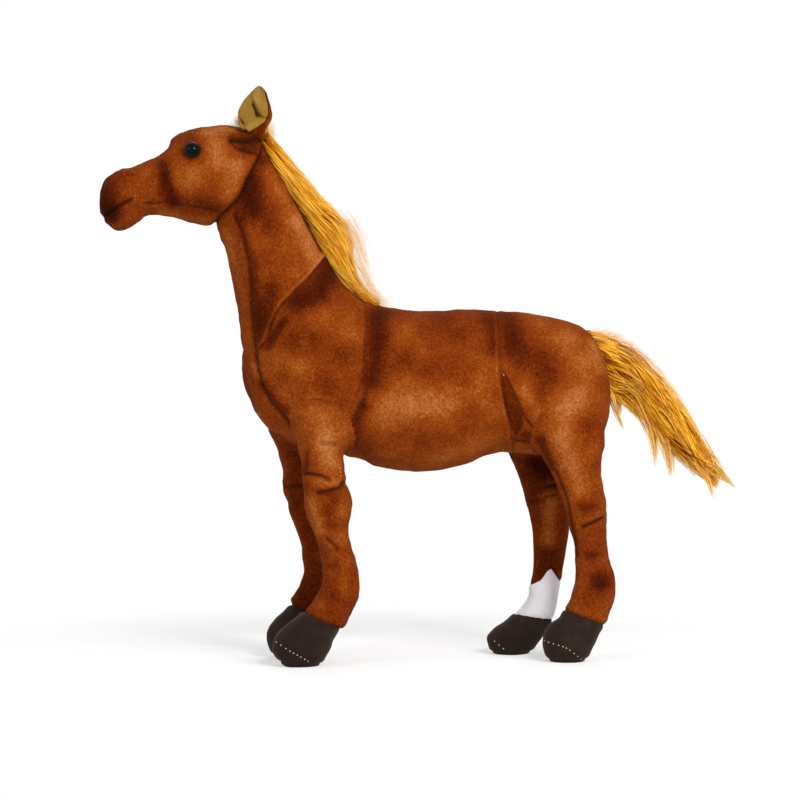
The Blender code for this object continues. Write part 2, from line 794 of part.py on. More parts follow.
def make_head(neck_clear):
    head = stuffed_part("head_skin", HEAD_RINGS, HEAD_SIDES, CHESTNUT)
    core, room = filling("head_filling", core_rings(HEAD_RINGS, HEAD_PICKS, SKIN_DEPTH))
    boolean(head, neck_clear, "DIFFERENCE")
    boolean(head, room, "DIFFERENCE")
    boolean(core, neck_clear, "DIFFERENCE")
    for name, side in (("left", -1.0), ("right", 1.0)):
        make_eye(name, side, head, core)
        make_ear(name, side, head)
    return head


def seam_line(ring, shift):
    """The seam of a hoof in the side view, run on past both ends and shifted up."""
    centre, rise = ring[:2]
    ahead, behind = SEAM_OVERRUN_SHARES
    start = centre + rise * (1 + ahead)
    end = centre - rise * (1 + behind)
    return [(start.x, start.z + shift), (end.x, end.z + shift)]


def sock_edge(corner_x, shift, leads):
    edge = []
    for x_share, z_share in SOCK_EDGE_SHARES:
        x = corner_x + x_share * HIND_LEG_REACH - lead_at(leads, z_share)
        edge.append((x, z_share * LEG_HEIGHT + shift))
    return edge


def cut_between(part, name, lower, upper):
    """Keeps what lies between two lines of the side view, both from front to back."""
    block = outline_solid(name, lower + list(reversed(upper)), CUTTER_REACH)
    boolean(part, add_cutter(name, block), "INTERSECT")


def level_line(line, height):
    return [(line[0][0], height), (line[-1][0], height)]


def make_leg(name, kind, side, leads, torso_clear, has_sock):
    leg_shares, hoof_shares, leg_picks, place_share, reach, width = kind
    corner = (trunk_point(place_share, 0.0)[0], 0.0)
    size = (corner, reach, LEG_HEIGHT, width, side * LEG_SIDE, leads)
    rings = rings_of(leg_shares, *size)
    hoof_rings = rings_of(hoof_shares, *size)
    seam = hoof_rings[1]
    above, below = seam_line(seam, SEAM_GAP / 2), seam_line(seam, -SEAM_GAP / 2)
    top = level_line(above, LEG_HEIGHT + BODY_DEPTH)

    skin = stuffed_part(name + "_leg_skin", rings, LEG_SIDES, CHESTNUT)
    hoof = stuffed_part(name + "_hoof", hoof_rings, LEG_SIDES, HOOF_FELT)
    sole = stuffed_part(name + "_sole", hoof_rings, LEG_SIDES, HOOF_FELT)
    picked = core_rings(rings, leg_picks, SKIN_DEPTH) + core_rings(hoof_rings, HOOF_PICKS, HOOF_DEPTH)
    core, room = filling(name + "_leg_filling", picked)
    boolean(core, torso_clear, "DIFFERENCE")

    floor_line = level_line(below, 0.0)
    cut_between(sole, name + "_sole_span", floor_line, level_line(below, SOLE_THICKNESS))
    cut_between(hoof, name + "_hoof_span", level_line(below, SOLE_THICKNESS + SEAM_GAP), below)
    boolean(hoof, room, "DIFFERENCE")
    if has_sock:
        sock = stuffed_part(name + "_sock", rings, LEG_SIDES, SOCK_WHITE)
        cut_between(sock, name + "_sock_span", above, sock_edge(corner[0], -SEAM_GAP / 2, leads))
        boolean(sock, room, "DIFFERENCE")
        edge = sock_edge(corner[0], SEAM_GAP / 2, leads)
        cut_between(skin, name + "_leg_span", edge, level_line(edge, LEG_HEIGHT + BODY_DEPTH))
    else:
        cut_between(skin, name + "_leg_span", above, top)
    boolean(skin, torso_clear, "DIFFERENCE")
    boolean(skin, room, "DIFFERENCE")


def make_mane(clears):
    """The backing strip sewn along the crest, the pile that stands on it and the forelock."""
    rings = rings_of(MANE_SHARES, neck_corner(), NECK_REACH, NECK_RISE, MANE_WIDTH)
    low, high = BACKING_SPAN_SHARES
    stations = len(rings)
    backing_rings = []
    for station in range(stations):
        place = (low + (high - low) * station / (stations - 1)) * (stations - 1)
        centre, rise, half = blended_ring(rings, place)
        out = -rise.normalized()
        middle = centre + rise + out * ((BACKING_RISE - BACKING_SINK) / 2)
        thickness = out * ((BACKING_RISE + BACKING_SINK) / 2)
        backing_rings.append((middle, thickness, half.normalized() * (BACKING_WIDTH / 2)))
    backing = add_part("mane_backing", loft("mane_backing", backing_rings, MANE_SIDES, 1.0), TAPE_TAN)
    facet(backing)
    backing_clear = add_cutter("backing_clear", loft("backing_clear", backing_rings, MANE_SIDES, 1.0))
    facet(backing_clear)
    inflate(backing_clear, SEAM_GAP)

    mane = stuffed_part("mane", rings, MANE_SIDES, GOLD)
    mane_clear = stuffed_cutter("mane_clear", rings, MANE_SIDES)
    tuft_rings = rings_of(FORELOCK_SHARES, head_corner(), HEAD_LENGTH, HEAD_DEPTH, HEAD_WIDTH)
    forelock = stuffed_part("forelock", tuft_rings, MANE_SIDES, GOLD)
    for pile in (backing, mane, forelock):
        for clear in clears:
            boolean(pile, clear, "DIFFERENCE")
    boolean(mane, backing_clear, "DIFFERENCE")
    boolean(forelock, mane_clear, "DIFFERENCE")


def make_tail(rump):
    """A folded tape in the rump seam carries the tail: it lifts, and the tail sways on it."""
    root = softened_top(TORSO_RINGS, round(TAIL_PLACE_SHARE))
    corner = (root.x, root.z)
    along = Vector((TAIL_AXIS_SHARES[0], 0.0, TAIL_AXIS_SHARES[1])).normalized()
    across = Vector((0.0, 1.0, 0.0))
    upward = along.cross(across) * -1.0
    if upward.z < 0:
        upward.negate()
    sway = root + along * TAB_LENGTH
    half_bar = across * (TAB_WIDTH / 2)

    half_room = half_bar + across * SEAM_GAP
    bar = rod("tail_tab", root - half_bar, root + half_bar, TAB_BAR_RADIUS)
    tab = add_part("tail_tab", bar, TAPE_TAN)
    axes = (root, along, across, upward)
    half_wide = TAB_WIDTH / 2 * TAB_NECK_SHARE
    tongue = slab("tail_tongue", axes, tongue_outline(half_wide), TAB_THICKNESS / 2)
    boolean(tab, tongue, "UNION")
    groove = rod("tail_groove", root - half_room, root + half_room, TAB_BAR_RADIUS + SEAM_GAP)
    boolean(rump, add_cutter("tail_groove", groove), "DIFFERENCE")

    rings = rings_of([(ax, -az, bx, -bz, half) for ax, az, bx, bz, half in TAIL_SHARES],
                     corner, TAIL_REACH, TAIL_DROP, TAIL_WIDTH)
    tail = stuffed_part("tail", rings, LEG_SIDES, GOLD)
    for number, lock in enumerate(TAIL_LOCK_SHARES, 1):
        boolean(tail, tail_lock("tail_lock_" + str(number), corner, lock), "UNION")
    slot_outline = tongue_outline(half_wide + SEAM_GAP, TAIL_SWING)
    slot = slab("tail_slot", axes, slot_outline, TAB_THICKNESS / 2 + SEAM_GAP)
    boolean(tail, slot, "DIFFERENCE")
    lift_hinge = add_hinge("tail_lift_hinge", root, across)
    sway_hinge = add_hinge("tail_sway_hinge", sway, upward)
    hang_on(lift_hinge, tab, sway_hinge)
    hang_on(sway_hinge, tail)


def tongue_outline(half_wide, swing=0.0):
    """The tongue from its root to its round end, or the room that it needs to swing."""
    wide = half_wide / math.cos(swing) + TAB_LENGTH * math.tan(swing)
    outline = [(0.0, -wide)]
    for step in range(TONGUE_STEPS + 1):
        angle = (step / TONGUE_STEPS * 2 - 1) * (math.pi / 2 + swing)
        outline.append((TAB_LENGTH + half_wide * math.cos(angle), half_wide * math.sin(angle)))
    outline.append((0.0, wide))
    return outline


def slab(name, axes, outline, half_thick):
    """An outline in the plane of the first two axes, made solid along the third."""
    root, along, across, upward = axes
    work = bmesh.new()
    loops = []
    for lift in (-half_thick, half_thick):
        level = root + upward * lift
        loops.append([work.verts.new(level + along * x + across * y) for x, y in outline])
    count = len(outline)
    for step in range(count):
        after = (step + 1) % count
        work.faces.new((loops[0][step], loops[0][after], loops[1][after], loops[1][step]))
    work.faces.new(loops[0])
    work.faces.new(loops[1])
    return add_cutter(name, mesh_from(work, name))


def tail_lock(name, corner, lock):
    """A tapered lock of pile along a bent line."""
    *places, radius_share, side_share = lock
    side = side_share * TAIL_WIDTH
    line = []
    for x, z in places:
        line.append(Vector((corner[0] + x * TAIL_REACH, side, corner[1] - z * TAIL_DROP)))
    rings = []
    for step in range(LOCK_RINGS):
        share = step / (LOCK_RINGS - 1)
        centre = line[0].lerp(line[1], share).lerp(line[1].lerp(line[2], share), share)
        heading = (line[1] - line[0]).lerp(line[2] - line[1], share).normalized()
        radius = radius_share * TAIL_WIDTH * (1 - (1 - LOCK_TIP_SHARE) * share)
        normal = heading.cross(Vector((0.0, 1.0, 0.0)))
        rings.append((centre, normal * radius, Vector((0.0, radius, 0.0))))
    return add_cutter(name, loft(name, rings, LOCK_SIDES, 1.0))


def main():
    torso_clear = stuffed_cutter("torso_clear", TORSO_RINGS, TORSO_SIDES)
    neck_clear = stuffed_cutter("neck_clear", NECK_RINGS, NECK_SIDES)
    head_clear = stuffed_cutter("head_clear", HEAD_RINGS, HEAD_SIDES)
    trunk = make_trunk()
    make_neck(torso_clear)
    make_head(neck_clear)

    level = (0.0, 0.0, 0.0)
    fore_leads = (-RIGHT_FORE_FOOT_LAG, RIGHT_FORE_KNEE_LEAD, RIGHT_FORE_HIP_LEAD)
    hind_leads = (RIGHT_HIND_FOOT_LEAD, RIGHT_HIND_KNEE_LEAD, RIGHT_HIND_HIP_LEAD)
    fore_size = (FORE_LEG_PICKS, FORE_LEG_PLACE_SHARE, FORE_LEG_REACH, FORE_LEG_WIDTH)
    hind_size = (HIND_LEG_PICKS, HIND_LEG_PLACE_SHARE, HIND_LEG_REACH, HIND_LEG_WIDTH)
    fore = (FORE_LEG_SHARES, FORE_HOOF_SHARES) + fore_size
    hind = (HIND_LEG_SHARES, HIND_HOOF_SHARES) + hind_size
    hind_right = (RIGHT_HIND_LEG_SHARES, RIGHT_HIND_HOOF_SHARES) + hind_size
    make_leg("fore_left", fore, -1.0, level, torso_clear, False)
    make_leg("fore_right", fore, 1.0, fore_leads, torso_clear, False)
    make_leg("hind_left", hind, -1.0, level, torso_clear, False)
    make_leg("hind_right", hind_right, 1.0, hind_leads, torso_clear, True)

    make_mane((torso_clear, neck_clear, head_clear))
    make_tail(trunk["hindquarter_skin"])


main()
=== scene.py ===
"""Looks of the plush horse: skins, hooves, ears, eyes, mane, tail, studio.

The horse looks towards -X, its left side is towards -Y. Lengths are in metres.
Places that are read from the photograph are pixels of its 800 x 800 frame, and
project() turns a point of the model into such a pixel.
"""
import json
import math

import bmesh
import bpy
import numpy as np
from mathutils import Matrix, Vector, noise
from mathutils.bvhtree import BVHTree


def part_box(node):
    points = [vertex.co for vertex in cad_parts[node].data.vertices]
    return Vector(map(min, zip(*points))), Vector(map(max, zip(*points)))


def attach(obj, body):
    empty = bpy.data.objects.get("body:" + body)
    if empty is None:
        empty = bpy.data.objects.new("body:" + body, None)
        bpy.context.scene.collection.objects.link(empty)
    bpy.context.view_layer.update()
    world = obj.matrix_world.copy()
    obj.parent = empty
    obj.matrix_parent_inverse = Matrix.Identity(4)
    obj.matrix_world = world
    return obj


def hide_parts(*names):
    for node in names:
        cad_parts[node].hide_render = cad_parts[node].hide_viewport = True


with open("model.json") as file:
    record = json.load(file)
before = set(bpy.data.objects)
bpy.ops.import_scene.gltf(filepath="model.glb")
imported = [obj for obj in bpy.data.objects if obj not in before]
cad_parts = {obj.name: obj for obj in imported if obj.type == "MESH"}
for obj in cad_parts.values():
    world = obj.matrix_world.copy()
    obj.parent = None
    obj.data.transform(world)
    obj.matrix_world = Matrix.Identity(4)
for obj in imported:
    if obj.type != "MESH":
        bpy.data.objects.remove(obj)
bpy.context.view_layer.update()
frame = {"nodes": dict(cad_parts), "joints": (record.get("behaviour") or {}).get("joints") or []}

# Camera, as the photograph was taken
CAMERA_TARGET = Vector((-0.0122, 0.0, 0.1822))
CAMERA_AZIMUTH = math.radians(-8.0)
CAMERA_ELEVATION = math.radians(1.5)
CAMERA_DISTANCE = 2.0
PIXEL = 0.0007
FRAME_PIXELS = 800
SENSOR_MM = 36.0
CLIP_START = 0.05

# Body surface
BODY_VOXEL = 0.0022
MIRROR = np.array([1.0, -1.0, 1.0])
EYE_SOCKET_DEPTH = 0.0012
SMOOTH_ROUNDS = 24
BLEND_ROUNDS = 110
RESTORE_ROUNDS = 30
BLEND_REACH = 0.011
LIP_DEPTH = 0.0022
NODE_REACH = 0.014
# A distance greater than any on the horse
OUT_OF_REACH = 1.0
TINY = 1e-9
# The lowest point of the soft skins, and the height below which nothing is puffed out
FLOOR_GAP = 0.0002
SOLE_REACH = 0.0012
# A border keeps this share of an edge away from the edge's ends
CUT_MARGIN = 0.08
# The plug that carries an eye: its start behind the washer, the radii at its ends
PLUG_BEHIND = 0.004
PLUG_RADII = (0.0075, 0.0068)
PLUG_SEGMENTS = 24
# Uneven filling: scale of the noise, seed, height
LUMPS = ((42.0, 1, 0.0006), (140.0, 2, 0.00018))
# Shift of the noise from one seed to the next
NOISE_STEP = (3.1, 7.7, 1.3)
# Smoothing: share of a step in, and of the step out that follows it
STEP_IN = 0.5
STEP_OUT = -0.52
# Beside a seam or a fold, in its half widths: place, spread and share of the depth
SEAM_PUFF = (3.2, 1.8, 0.28)
CREASE_PUFF = (2.6, 1.5, 0.25)
RIDGE_PUFF = (1.6, 0.8, 0.4)
# How soon a fold fades where the surface turns away
CREASE_FADE = 2.0
# Painted shade on the inner sides of the legs, which face each other
INNER_LEG_PAINTED_SHADE = -0.20

LEGS = ("fore_left", "fore_right", "hind_left", "hind_right")
TRUNK = ("head_skin", "neck_skin", "forequarter_skin", "barrel_skin", "hindquarter_skin")
LEG_SKINS = tuple(leg + "_leg_skin" for leg in LEGS)
HOOVES = tuple(leg + "_hoof" for leg in LEGS)
SOLES = tuple(leg + "_sole" for leg in LEGS)
SURFACE_NODES = TRUNK + LEG_SKINS + HOOVES + SOLES + ("hind_right_sock",)
POINT_VALUES = ("shade", "tone")
# Fillings that a skin hides
FILLED_BY = {
    "head_skin": ("head_filling",),
    "neck_skin": ("neck_filling",),
    "barrel_skin": ("body_filling",),
}
for leg in LEGS:
    FILLED_BY[leg + "_leg_skin"] = (leg + "_leg_filling",)
FILLINGS = tuple(name for names in FILLED_BY.values() for name in names)

# Seams between skins: depth and half width of the groove, and how strong the painted shade in it is
SEAM_GROOVES = {
    ("head_skin", "neck_skin"): (0.0018, 0.0013, 0.85),
    ("neck_skin", "forequarter_skin"): (0.0012, 0.0010, 0.55),
    ("forequarter_skin", "barrel_skin"): (0.0007, 0.0011, 0.30),
    ("barrel_skin", "hindquarter_skin"): (0.0005, 0.0010, 0.45),
    ("hind_right_leg_skin", "hind_right_sock"): (0.0004, 0.0009, 0.3),
    ("hind_right_sock", "hind_right_hoof"): (0.0009, 0.0011, 0.7),
}
for leg in LEGS:
    SEAM_GROOVES[(leg + "_leg_skin", leg + "_hoof")] = (0.0010, 0.0011, 0.7)
    SEAM_GROOVES[(leg + "_hoof", leg + "_sole")] = (0.0008, 0.0010, 0.5)
# Where these seams run, in pixels, from the back to the belly
SEAM_LINES = {
    ("head_skin", "neck_skin"): [
        (276, 112), (266, 134), (258.5, 156), (252, 170), (246, 180), (242, 191), (236, 200),
        (228, 209), (220, 216), (212, 228),
    ],
    ("neck_skin", "forequarter_skin"): [
        (342, 240), (323, 260), (306.5, 280), (297, 288), (289, 297), (281, 305), (274, 317),
        (270, 327), (265, 341), (258, 350), (236, 362),
    ],
    ("forequarter_skin", "barrel_skin"): [
        (364, 290), (365, 306), (366, 326), (363.5, 349), (362, 372), (359, 389), (355, 402),
        (348, 415), (343, 428), (343, 470),
    ],
    ("barrel_skin", "hindquarter_skin"): [
        (496, 295), (497, 311), (499, 336), (499.5, 374), (503, 397), (509, 423), (512.5, 441),
        (514, 470),
    ],
}
# Raised ridge of turned-in pile beside a seam, on its lower side, with a painted highlight: how much lighter
# it is
SEAM_RIDGE_HIGHLIGHTS = {("neck_skin", "forequarter_skin"): 0.20, ("barrel_skin", "hindquarter_skin"): 0.09}
# The seam of neck and shoulder ends at the gusset of the chest, at this x in pixels
SEAM_END_X = 254.0
SEAM_END_SOFT = 5.0

# Sewn lines and folds inside one skin: points in pixels, depth, half width, strength of the painted shade in
# them
CREASES = {
    "head_skin": {
        "jaw_seam": ([(146, 203), (165, 203), (190, 206), (218, 211)], 0.0007, 0.001, 0.6),
        "mouth": ([(101, 219), (108, 214), (119, 206), (131, 200)], 0.0026, 0.0013, 0.85),
        "mouth_front": ([(101, 218), (112, 211)], 0.0012, 0.0026, 0.9),
        "nostril": ([(113, 196), (117, 193)], 0.0008, 0.0014, 0.35),
        "muzzle_dip": ([(163, 176), (160, 190), (165, 202)], 0.0012, 0.0032, 0.45),
        "ear_seam": ([(230, 134), (230.6, 140), (235, 147), (240, 150), (247, 152.5), (257, 155)],
            0.001, 0.001, 0.8),
        "ear_fold": ([(232, 138), (240, 139.5), (250, 141), (262, 142.5)], 0.0036, 0.0034, 1.0),
    },
    "neck_skin": {
        "chest_gusset": ([(234, 213), (244, 238), (249, 266), (251, 300), (254, 340), (258, 356)],
            0.0007, 0.0013, 0.6),
        "crest_line": ([(262, 147), (284, 179), (298, 206), (310, 229), (322, 251)], 0.0008, 0.0012, 0.9),
    },
    "forequarter_skin": {
        "breast_inner": ([(254.7, 350), (257.5, 368), (263, 385), (271, 399), (280.5, 410.6), (292, 426)],
            0.0013, 0.0016, 0.8),
        "breast_outer": ([(243.5, 372), (249.5, 393), (256.4, 410.5), (268, 426)], 0.0006, 0.0009, 0.6),
        "withers_line": ([(322, 251), (332, 268), (345, 285), (361, 300), (380, 311)],
            0.0006, 0.001, 0.6),
        "elbow_fold": ([(316, 410), (334, 411)], 0.0005, 0.0024, 0.14),
        "armpit": ([(343, 428), (344, 442)], 0.001, 0.0022, 0.8),
    },
    "hindquarter_skin": {
        "flank_gusset": ([(501, 370), (506, 377), (512.5, 389), (518.5, 402), (523.5, 416), (530, 424),
            (537, 434)],
            0.001, 0.0007, 0.9),
        "flank_lip": ([(536, 436), (543, 448), (552, 466)], 0.001, 0.002, 0.7),
        "flank_base": ([(514, 440), (524, 441), (536, 444)], 0.0008, 0.0009, 0.7),
    },
    "barrel_skin": {
        "shoulder_fold": ([(367, 388), (362, 404), (354, 420), (348, 436)], 0.001, 0.0022, 0.55),
    },
    "fore_left_leg_skin": {
        "elbow_fold_low": ([(322, 443), (336, 444)], 0.0009, 0.0016, 0.45),
        "fore_knee_dart": ([(305, 473.5), (312.5, 474.5), (321.5, 476), (328, 479.5)],
            0.0014, 0.0012, 0.85),
        "fore_knee_fold": ([(318, 493), (329, 491), (339, 488), (346, 482)], 0.0017, 0.0014, 0.9),
        "fore_shin_fold": ([(324, 527), (336, 528)], 0.0007, 0.002, 0.3),
        "fore_low_fold": ([(327, 539), (333, 544), (338, 549)], 0.0012, 0.0013, 0.7),
        "fore_ankle_fold": ([(328, 566), (338, 564)], 0.0008, 0.002, 0.4),
    },
    "hind_left_leg_skin": {
        "hind_inner_seam": ([(556, 470), (564, 491), (568, 502), (571, 517), (575, 533), (578, 556)],
            0.0007, 0.0009, 0.7),
        "hock_fold": ([(579, 508), (598, 508)], 0.0009, 0.0026, 0.35),
        "hock_dart": ([(582, 527), (592, 523), (603, 517.5)], 0.0015, 0.0012, 1.0),
        "hind_low_fold": ([(586, 556), (598, 554)], 0.0008, 0.0022, 0.5),
    },
    "fore_right_leg_skin": {
        "far_knee_fold": ([(284, 487), (303, 485)], 0.0012, 0.0014, 0.8),
    },
    "hind_right_leg_skin": {
        "far_hock_fold": ([(546, 487), (558, 485)], 0.0012, 0.0014, 0.8),
        "far_hock_second": ([(546, 497), (556, 495)], 0.001, 0.0014, 0.7),
        "far_hock_third": ([(530, 501), (544, 500)], 0.0008, 0.0012, 0.5),
    },
}
# Soft forms pressed in (below zero) or puffed out, of one piece or (None) over all:
# line in pixels, radius in pixels, height
SWELLS = {
    "head_skin": [
        ([(200, 176), (206, 190)], 22, 0.0014), ([(173, 141), (178, 133)], 5, 0.0016),
        ([(186, 127), (206, 124)], 8, -0.0005), ([(192, 149)], 12, -0.0012),
        ([(156, 157), (168, 149)], 6, -0.0014), ([(104, 179), (112, 173), (122, 170)], 6, 0.002),
        ([(99, 192), (99, 206)], 7, 0.0006), ([(117, 229), (130, 226), (138, 221)], 6, 0.0018),
        ([(204, 224), (217, 224)], 6, 0.001), ([(112, 218), (124, 213)], 5, 0.0008),
        ([(240, 134), (258, 135)], 6, 0.0012),
    ],
    "neck_skin": [
        ([(214, 226), (219, 238)], 6, 0.0014), ([(258, 147)], 5, 0.003),
    ],
    None: [
        ([(253, 140), (260, 144)], 6, 0.0042), ([(241, 345), (243, 352)], 8, 0.0016),
        ([(262, 410), (272, 428)], 9, 0.002), ([(460, 309), (500, 310)], 10, 0.0009),
        ([(520, 312), (560, 319), (590, 329)], 12, 0.0014), ([(346, 452), (362, 459)], 9, -0.0026),
        ([(271, 664), (276, 668)], 7, -0.004), ([(539, 663)], 6, -0.002),
    ],
    "forequarter_skin": [
        ([(312, 385)], 40, 0.0012), ([(262, 380), (280, 408)], 5, 0.001),
    ],
    "barrel_skin": [
        ([(484, 457), (500, 450)], 8, -0.0014), ([(500, 390), (508, 425)], 7, 0.0014),
    ],
    "hindquarter_skin": [
        ([(560, 390)], 42, 0.0012), ([(512, 446), (534, 450)], 3, 0.0014),
    ],
    "hind_left_leg_skin": [
        ([(590, 452)], 18, 0.0006), ([(604, 455), (603, 474)], 6, -0.0012),
        ([(612, 575), (612, 600)], 8, 0.0011), ([(592, 470)], 9, 0.0008),
        ([(570, 530), (576, 560), (573, 592)], 6, 0.0013), ([(606, 502)], 6, 0.0006),
    ],
    "fore_left_leg_skin": [
        ([(346, 455), (347, 474)], 6, -0.0011), ([(347, 484)], 5, -0.0018), ([(353, 502)], 7, 0.001),
        ([(357, 560), (357, 596)], 8, 0.001), ([(330, 500)], 12, 0.0009),
    ],
    "fore_right_leg_skin": [
        ([(282, 505), (288, 525), (294, 548)], 8, -0.003), ([(276, 452), (282, 470)], 7, -0.0012),
        ([(298, 580), (293, 600)], 8, 0.0036), ([(276, 470), (282, 500)], 7, -0.0012),
    ],
    "hind_right_sock": [
        ([(525, 596), (518, 614)], 7, -0.0026),
    ],
    "hind_right_hoof": [
        ([(489, 638)], 5, 0.0012), ([(500, 618), (512, 611)], 6, -0.0014),
    ],
    "hind_left_hoof": [
        ([(556, 614)], 8, -0.0018),
    ],
    "fore_left_hoof": [
        ([(338, 642), (345, 622)], 7, -0.002),
    ],
}
# Flank panel that lies deeper than the skins round it: outline, depth, soft edge in pixels, tone
FLANK_PANEL = [
    (500.5, 371), (506, 377), (512.5, 389), (518.5, 402), (523.5, 416), (522, 428), (515, 440), (510.5, 428),
    (505, 411), (500.5, 389)]
FLANK_DEPTH = 0.0016
FLANK_EDGE = 1.8
FLANK_TONE = -0.24
# A single point is drawn as a line of this length in pixels
POINT_LENGTH = 0.01

# Long pile: edges of its side view in pixels, and half widths
TAIL_UPPER = [(584, 330), (605, 333), (623, 341), (643, 355), (663, 377), (679, 399), (694, 424),
    (707, 448), (727, 472)]
TAIL_LOWER = [(601, 378), (611, 400), (627, 408), (642, 421), (661, 443), (680, 460), (696, 471),
    (709, 481), (719, 487)]
TAIL_HALF_WIDTHS = [0.0035, 0.008, 0.011, 0.013, 0.013, 0.011, 0.009, 0.006, 0.003]
MANE_OUTER = [(267, 127), (276, 140), (294, 162), (311, 182.5), (327, 201), (343, 217.5), (351, 240),
    (353, 262), (362, 286), (381, 304)]
MANE_CREST = [(253, 140), (262, 157), (277, 179), (291, 202), (304, 226), (316, 249), (328, 270),
    (342, 288), (359, 303), (378, 314)]
MANE_HALF_WIDTHS = [0.003, 0.007, 0.009, 0.010, 0.011, 0.011, 0.011, 0.011, 0.010, 0.005]
TAIL_STRANDS = 3600
MANE_STRANDS = 4200
FRINGE_RADIUS = 0.00006
LOCK_STRANDS = 44
STRAND_RADIUS = 0.00036
STRAND_STEPS = 8
# Thickness of a strand along its length: share at its root, growth, power of its taper, least share
STRAND_TAPER = (0.55, 1.6, 2.2, 0.02)
# The sides of a strand stand square to its line and to this direction
STRAND_SIDE = (0.31, 0.87, 0.38)
STRAND_SIDES = 3
# How far strands differ, as a share of what their pile asks for
LENGTHS = (0.7, 1.25)
DRIFTS = (0.6, 1.4)
LIFTS = (0.6, 1.3)
PULLS = (0.6, 1.0)
THICKNESSES = (0.7, 1.3)
# Strands end within this share of the pile's end
FRAY = 0.10
# A clump takes the strands that start nearest to its own: weight of the place along the pile
CLUMP_ALONG = 5.0
CLUMP_BLOCK = 2000
# Powers of the way along a strand by which it turns and is pulled to its clump
DRIFT_POWER = 1.3
PULL_POWER = 1.6
# Waves: scatter of the phase, turns on the way down and sideways, share of the wave along X
WAVE_SCATTER = 0.35
WAVE_DOWN = 5.5
WAVE_SIDE = 4.5
WAVE_SIDE_PHASE = 1.7
WAVE_ALONG = 0.5
# Tone of strands: middle, scatter, change at the tip, at the root and on the upper edge
STRAND_TONES = (0.50, 0.20, 0.16, -0.26, 0.12)
UPPER_PALE = 0.16
# Locks: power and share of the spread down a strand, sideways spread, lengths, power of paleness,
# tone in the middle, scatter, change at the tip
LOCK_POWER = 1.2
LOCK_SPREAD = 0.5
LOCK_SIDE = 0.6
LOCK_LENGTHS = (0.75, 1.0)
LOCK_PALE_POWER = 1.5
LOCK_TONES = (0.5, 0.16, 0.1)
# Core under the strands: rings, sides, angle and power that round its ends, tone
CORE_RINGS = 26
CORE_SIDES = 24
CORE_END = 0.12
CORE_ROUNDING = 0.35
CORE_TONE = 0.25
# Strands: length as a share of the pile's, turn round it and lift off it on the way, clumps,
# how far they pull together, waves, radius, paleness at root and tip
TAIL_BODY = {
    "length": 0.27, "drift": 0.30, "lift": 0.05, "clumps": 150, "pull": 0.65, "wave": 0.0030,
    "radius": STRAND_RADIUS, "pale_root": 0.0, "pale_tip": 0.12,
}
MANE_BODY = {
    "length": 0.22, "drift": -0.55, "lift": 0.10, "clumps": 260, "pull": 0.5, "wave": 0.0011,
    "radius": STRAND_RADIUS * 0.8, "pale_root": 0.0, "pale_tip": 0.12,
}
# Loose strands at the upper edge, with their number and the ranges of start and reach
FRINGE_TURN = 0.3
TAIL_FRINGE = {
    "count": 520, "starts": (0.02, 0.9), "reaches": (0.9, 1.0),
    "length": 0.13, "drift": 0.1, "lift": 0.24, "clumps": 260, "pull": 0.1, "wave": 0.0010,
    "radius": FRINGE_RADIUS, "pale_root": 0.1, "pale_tip": 0.4,
}
MANE_FRINGE = {
    "count": 420, "starts": (0.54, 0.97), "reaches": (0.85, 1.0),
    "length": 0.12, "drift": 0.1, "lift": 0.35, "clumps": 200, "pull": 0.1, "wave": 0.0010,
    "radius": FRINGE_RADIUS, "pale_root": 0.1, "pale_tip": 0.4,
}
# Locks of the tail and tufts of the forelock: a line of pixels, spread at its root, sideways place
TAIL_LOCKS = [
    ([(600, 368), (609, 390), (614, 402), (616, 413)], 5, -0.003),
    ([(606, 374), (615, 394), (619, 406), (621, 416)], 4, 0.002),
    ([(608, 384), (614, 402), (618, 416), (624, 430)], 2, 0.0),
    ([(634, 396), (647, 422), (653, 444), (655, 468)], 5, -0.006),
    ([(640, 402), (650, 427), (655, 446), (656, 464)], 4, -0.002),
    ([(650, 414), (663, 440), (668, 460), (670, 480)], 5, -0.004),
    ([(656, 420), (667, 444), (671, 462), (672, 478)], 4, 0.001),
    ([(668, 430), (680, 454), (689, 466), (695, 478)], 7, 0.002),
    ([(686, 446), (701, 468), (709, 483), (713, 499)], 6, -0.003),
    ([(694, 444), (712, 466), (725, 478), (737, 489)], 5, 0.0),
    ([(692, 438), (710, 464), (722, 476), (731, 484)], 7, 0.003),
    ([(682, 440), (698, 464), (709, 477), (719, 488)], 9, 0.001),
]
TAIL_ROOT_LOCKS = [
    ([(583, 338), (594, 338), (608, 343), (622, 351)], 2, -0.003),
    ([(583, 336), (593, 334), (607, 338), (623, 346)], 2, 0.0),
    ([(583, 338), (594, 338), (608, 343), (622, 351)], 2, 0.003),
]
MANE_WISPS = [
    ([(344, 217), (352, 228), (359, 239), (362, 250)], 5, 0.0),
    ([(347, 224), (356, 238), (361, 251), (366, 264)], 6, -0.003),
    ([(350, 236), (359, 252), (365, 266), (370, 279)], 6, 0.003),
    ([(352, 250), (361, 266), (369, 279), (376, 291)], 6, -0.002),
    ([(356, 266), (365, 280), (373, 291), (381, 300)], 5, 0.002),
    ([(362, 282), (372, 293), (380, 300), (387, 304)], 4, 0.0),
    ([(372, 296), (380, 301), (386, 304), (391, 306)], 2, 0.0),
]
FORELOCK_TUFTS = [
    ([(244, 131), (239, 125), (236, 121), (234, 118)], 3, 0.003),
    ([(243, 129), (239, 123), (237, 119), (236, 116)], 3, 0.001),
    ([(246, 133), (238, 128), (233, 125), (229, 123)], 2, 0.002),
    ([(263, 142), (267, 132), (270, 125), (272, 120)], 3, 0.004),
    ([(265, 144), (269, 135), (272, 128), (273, 123)], 3, 0.006),
    ([(266, 146), (271, 138), (274, 133), (275, 129)], 3, 0.006),
]
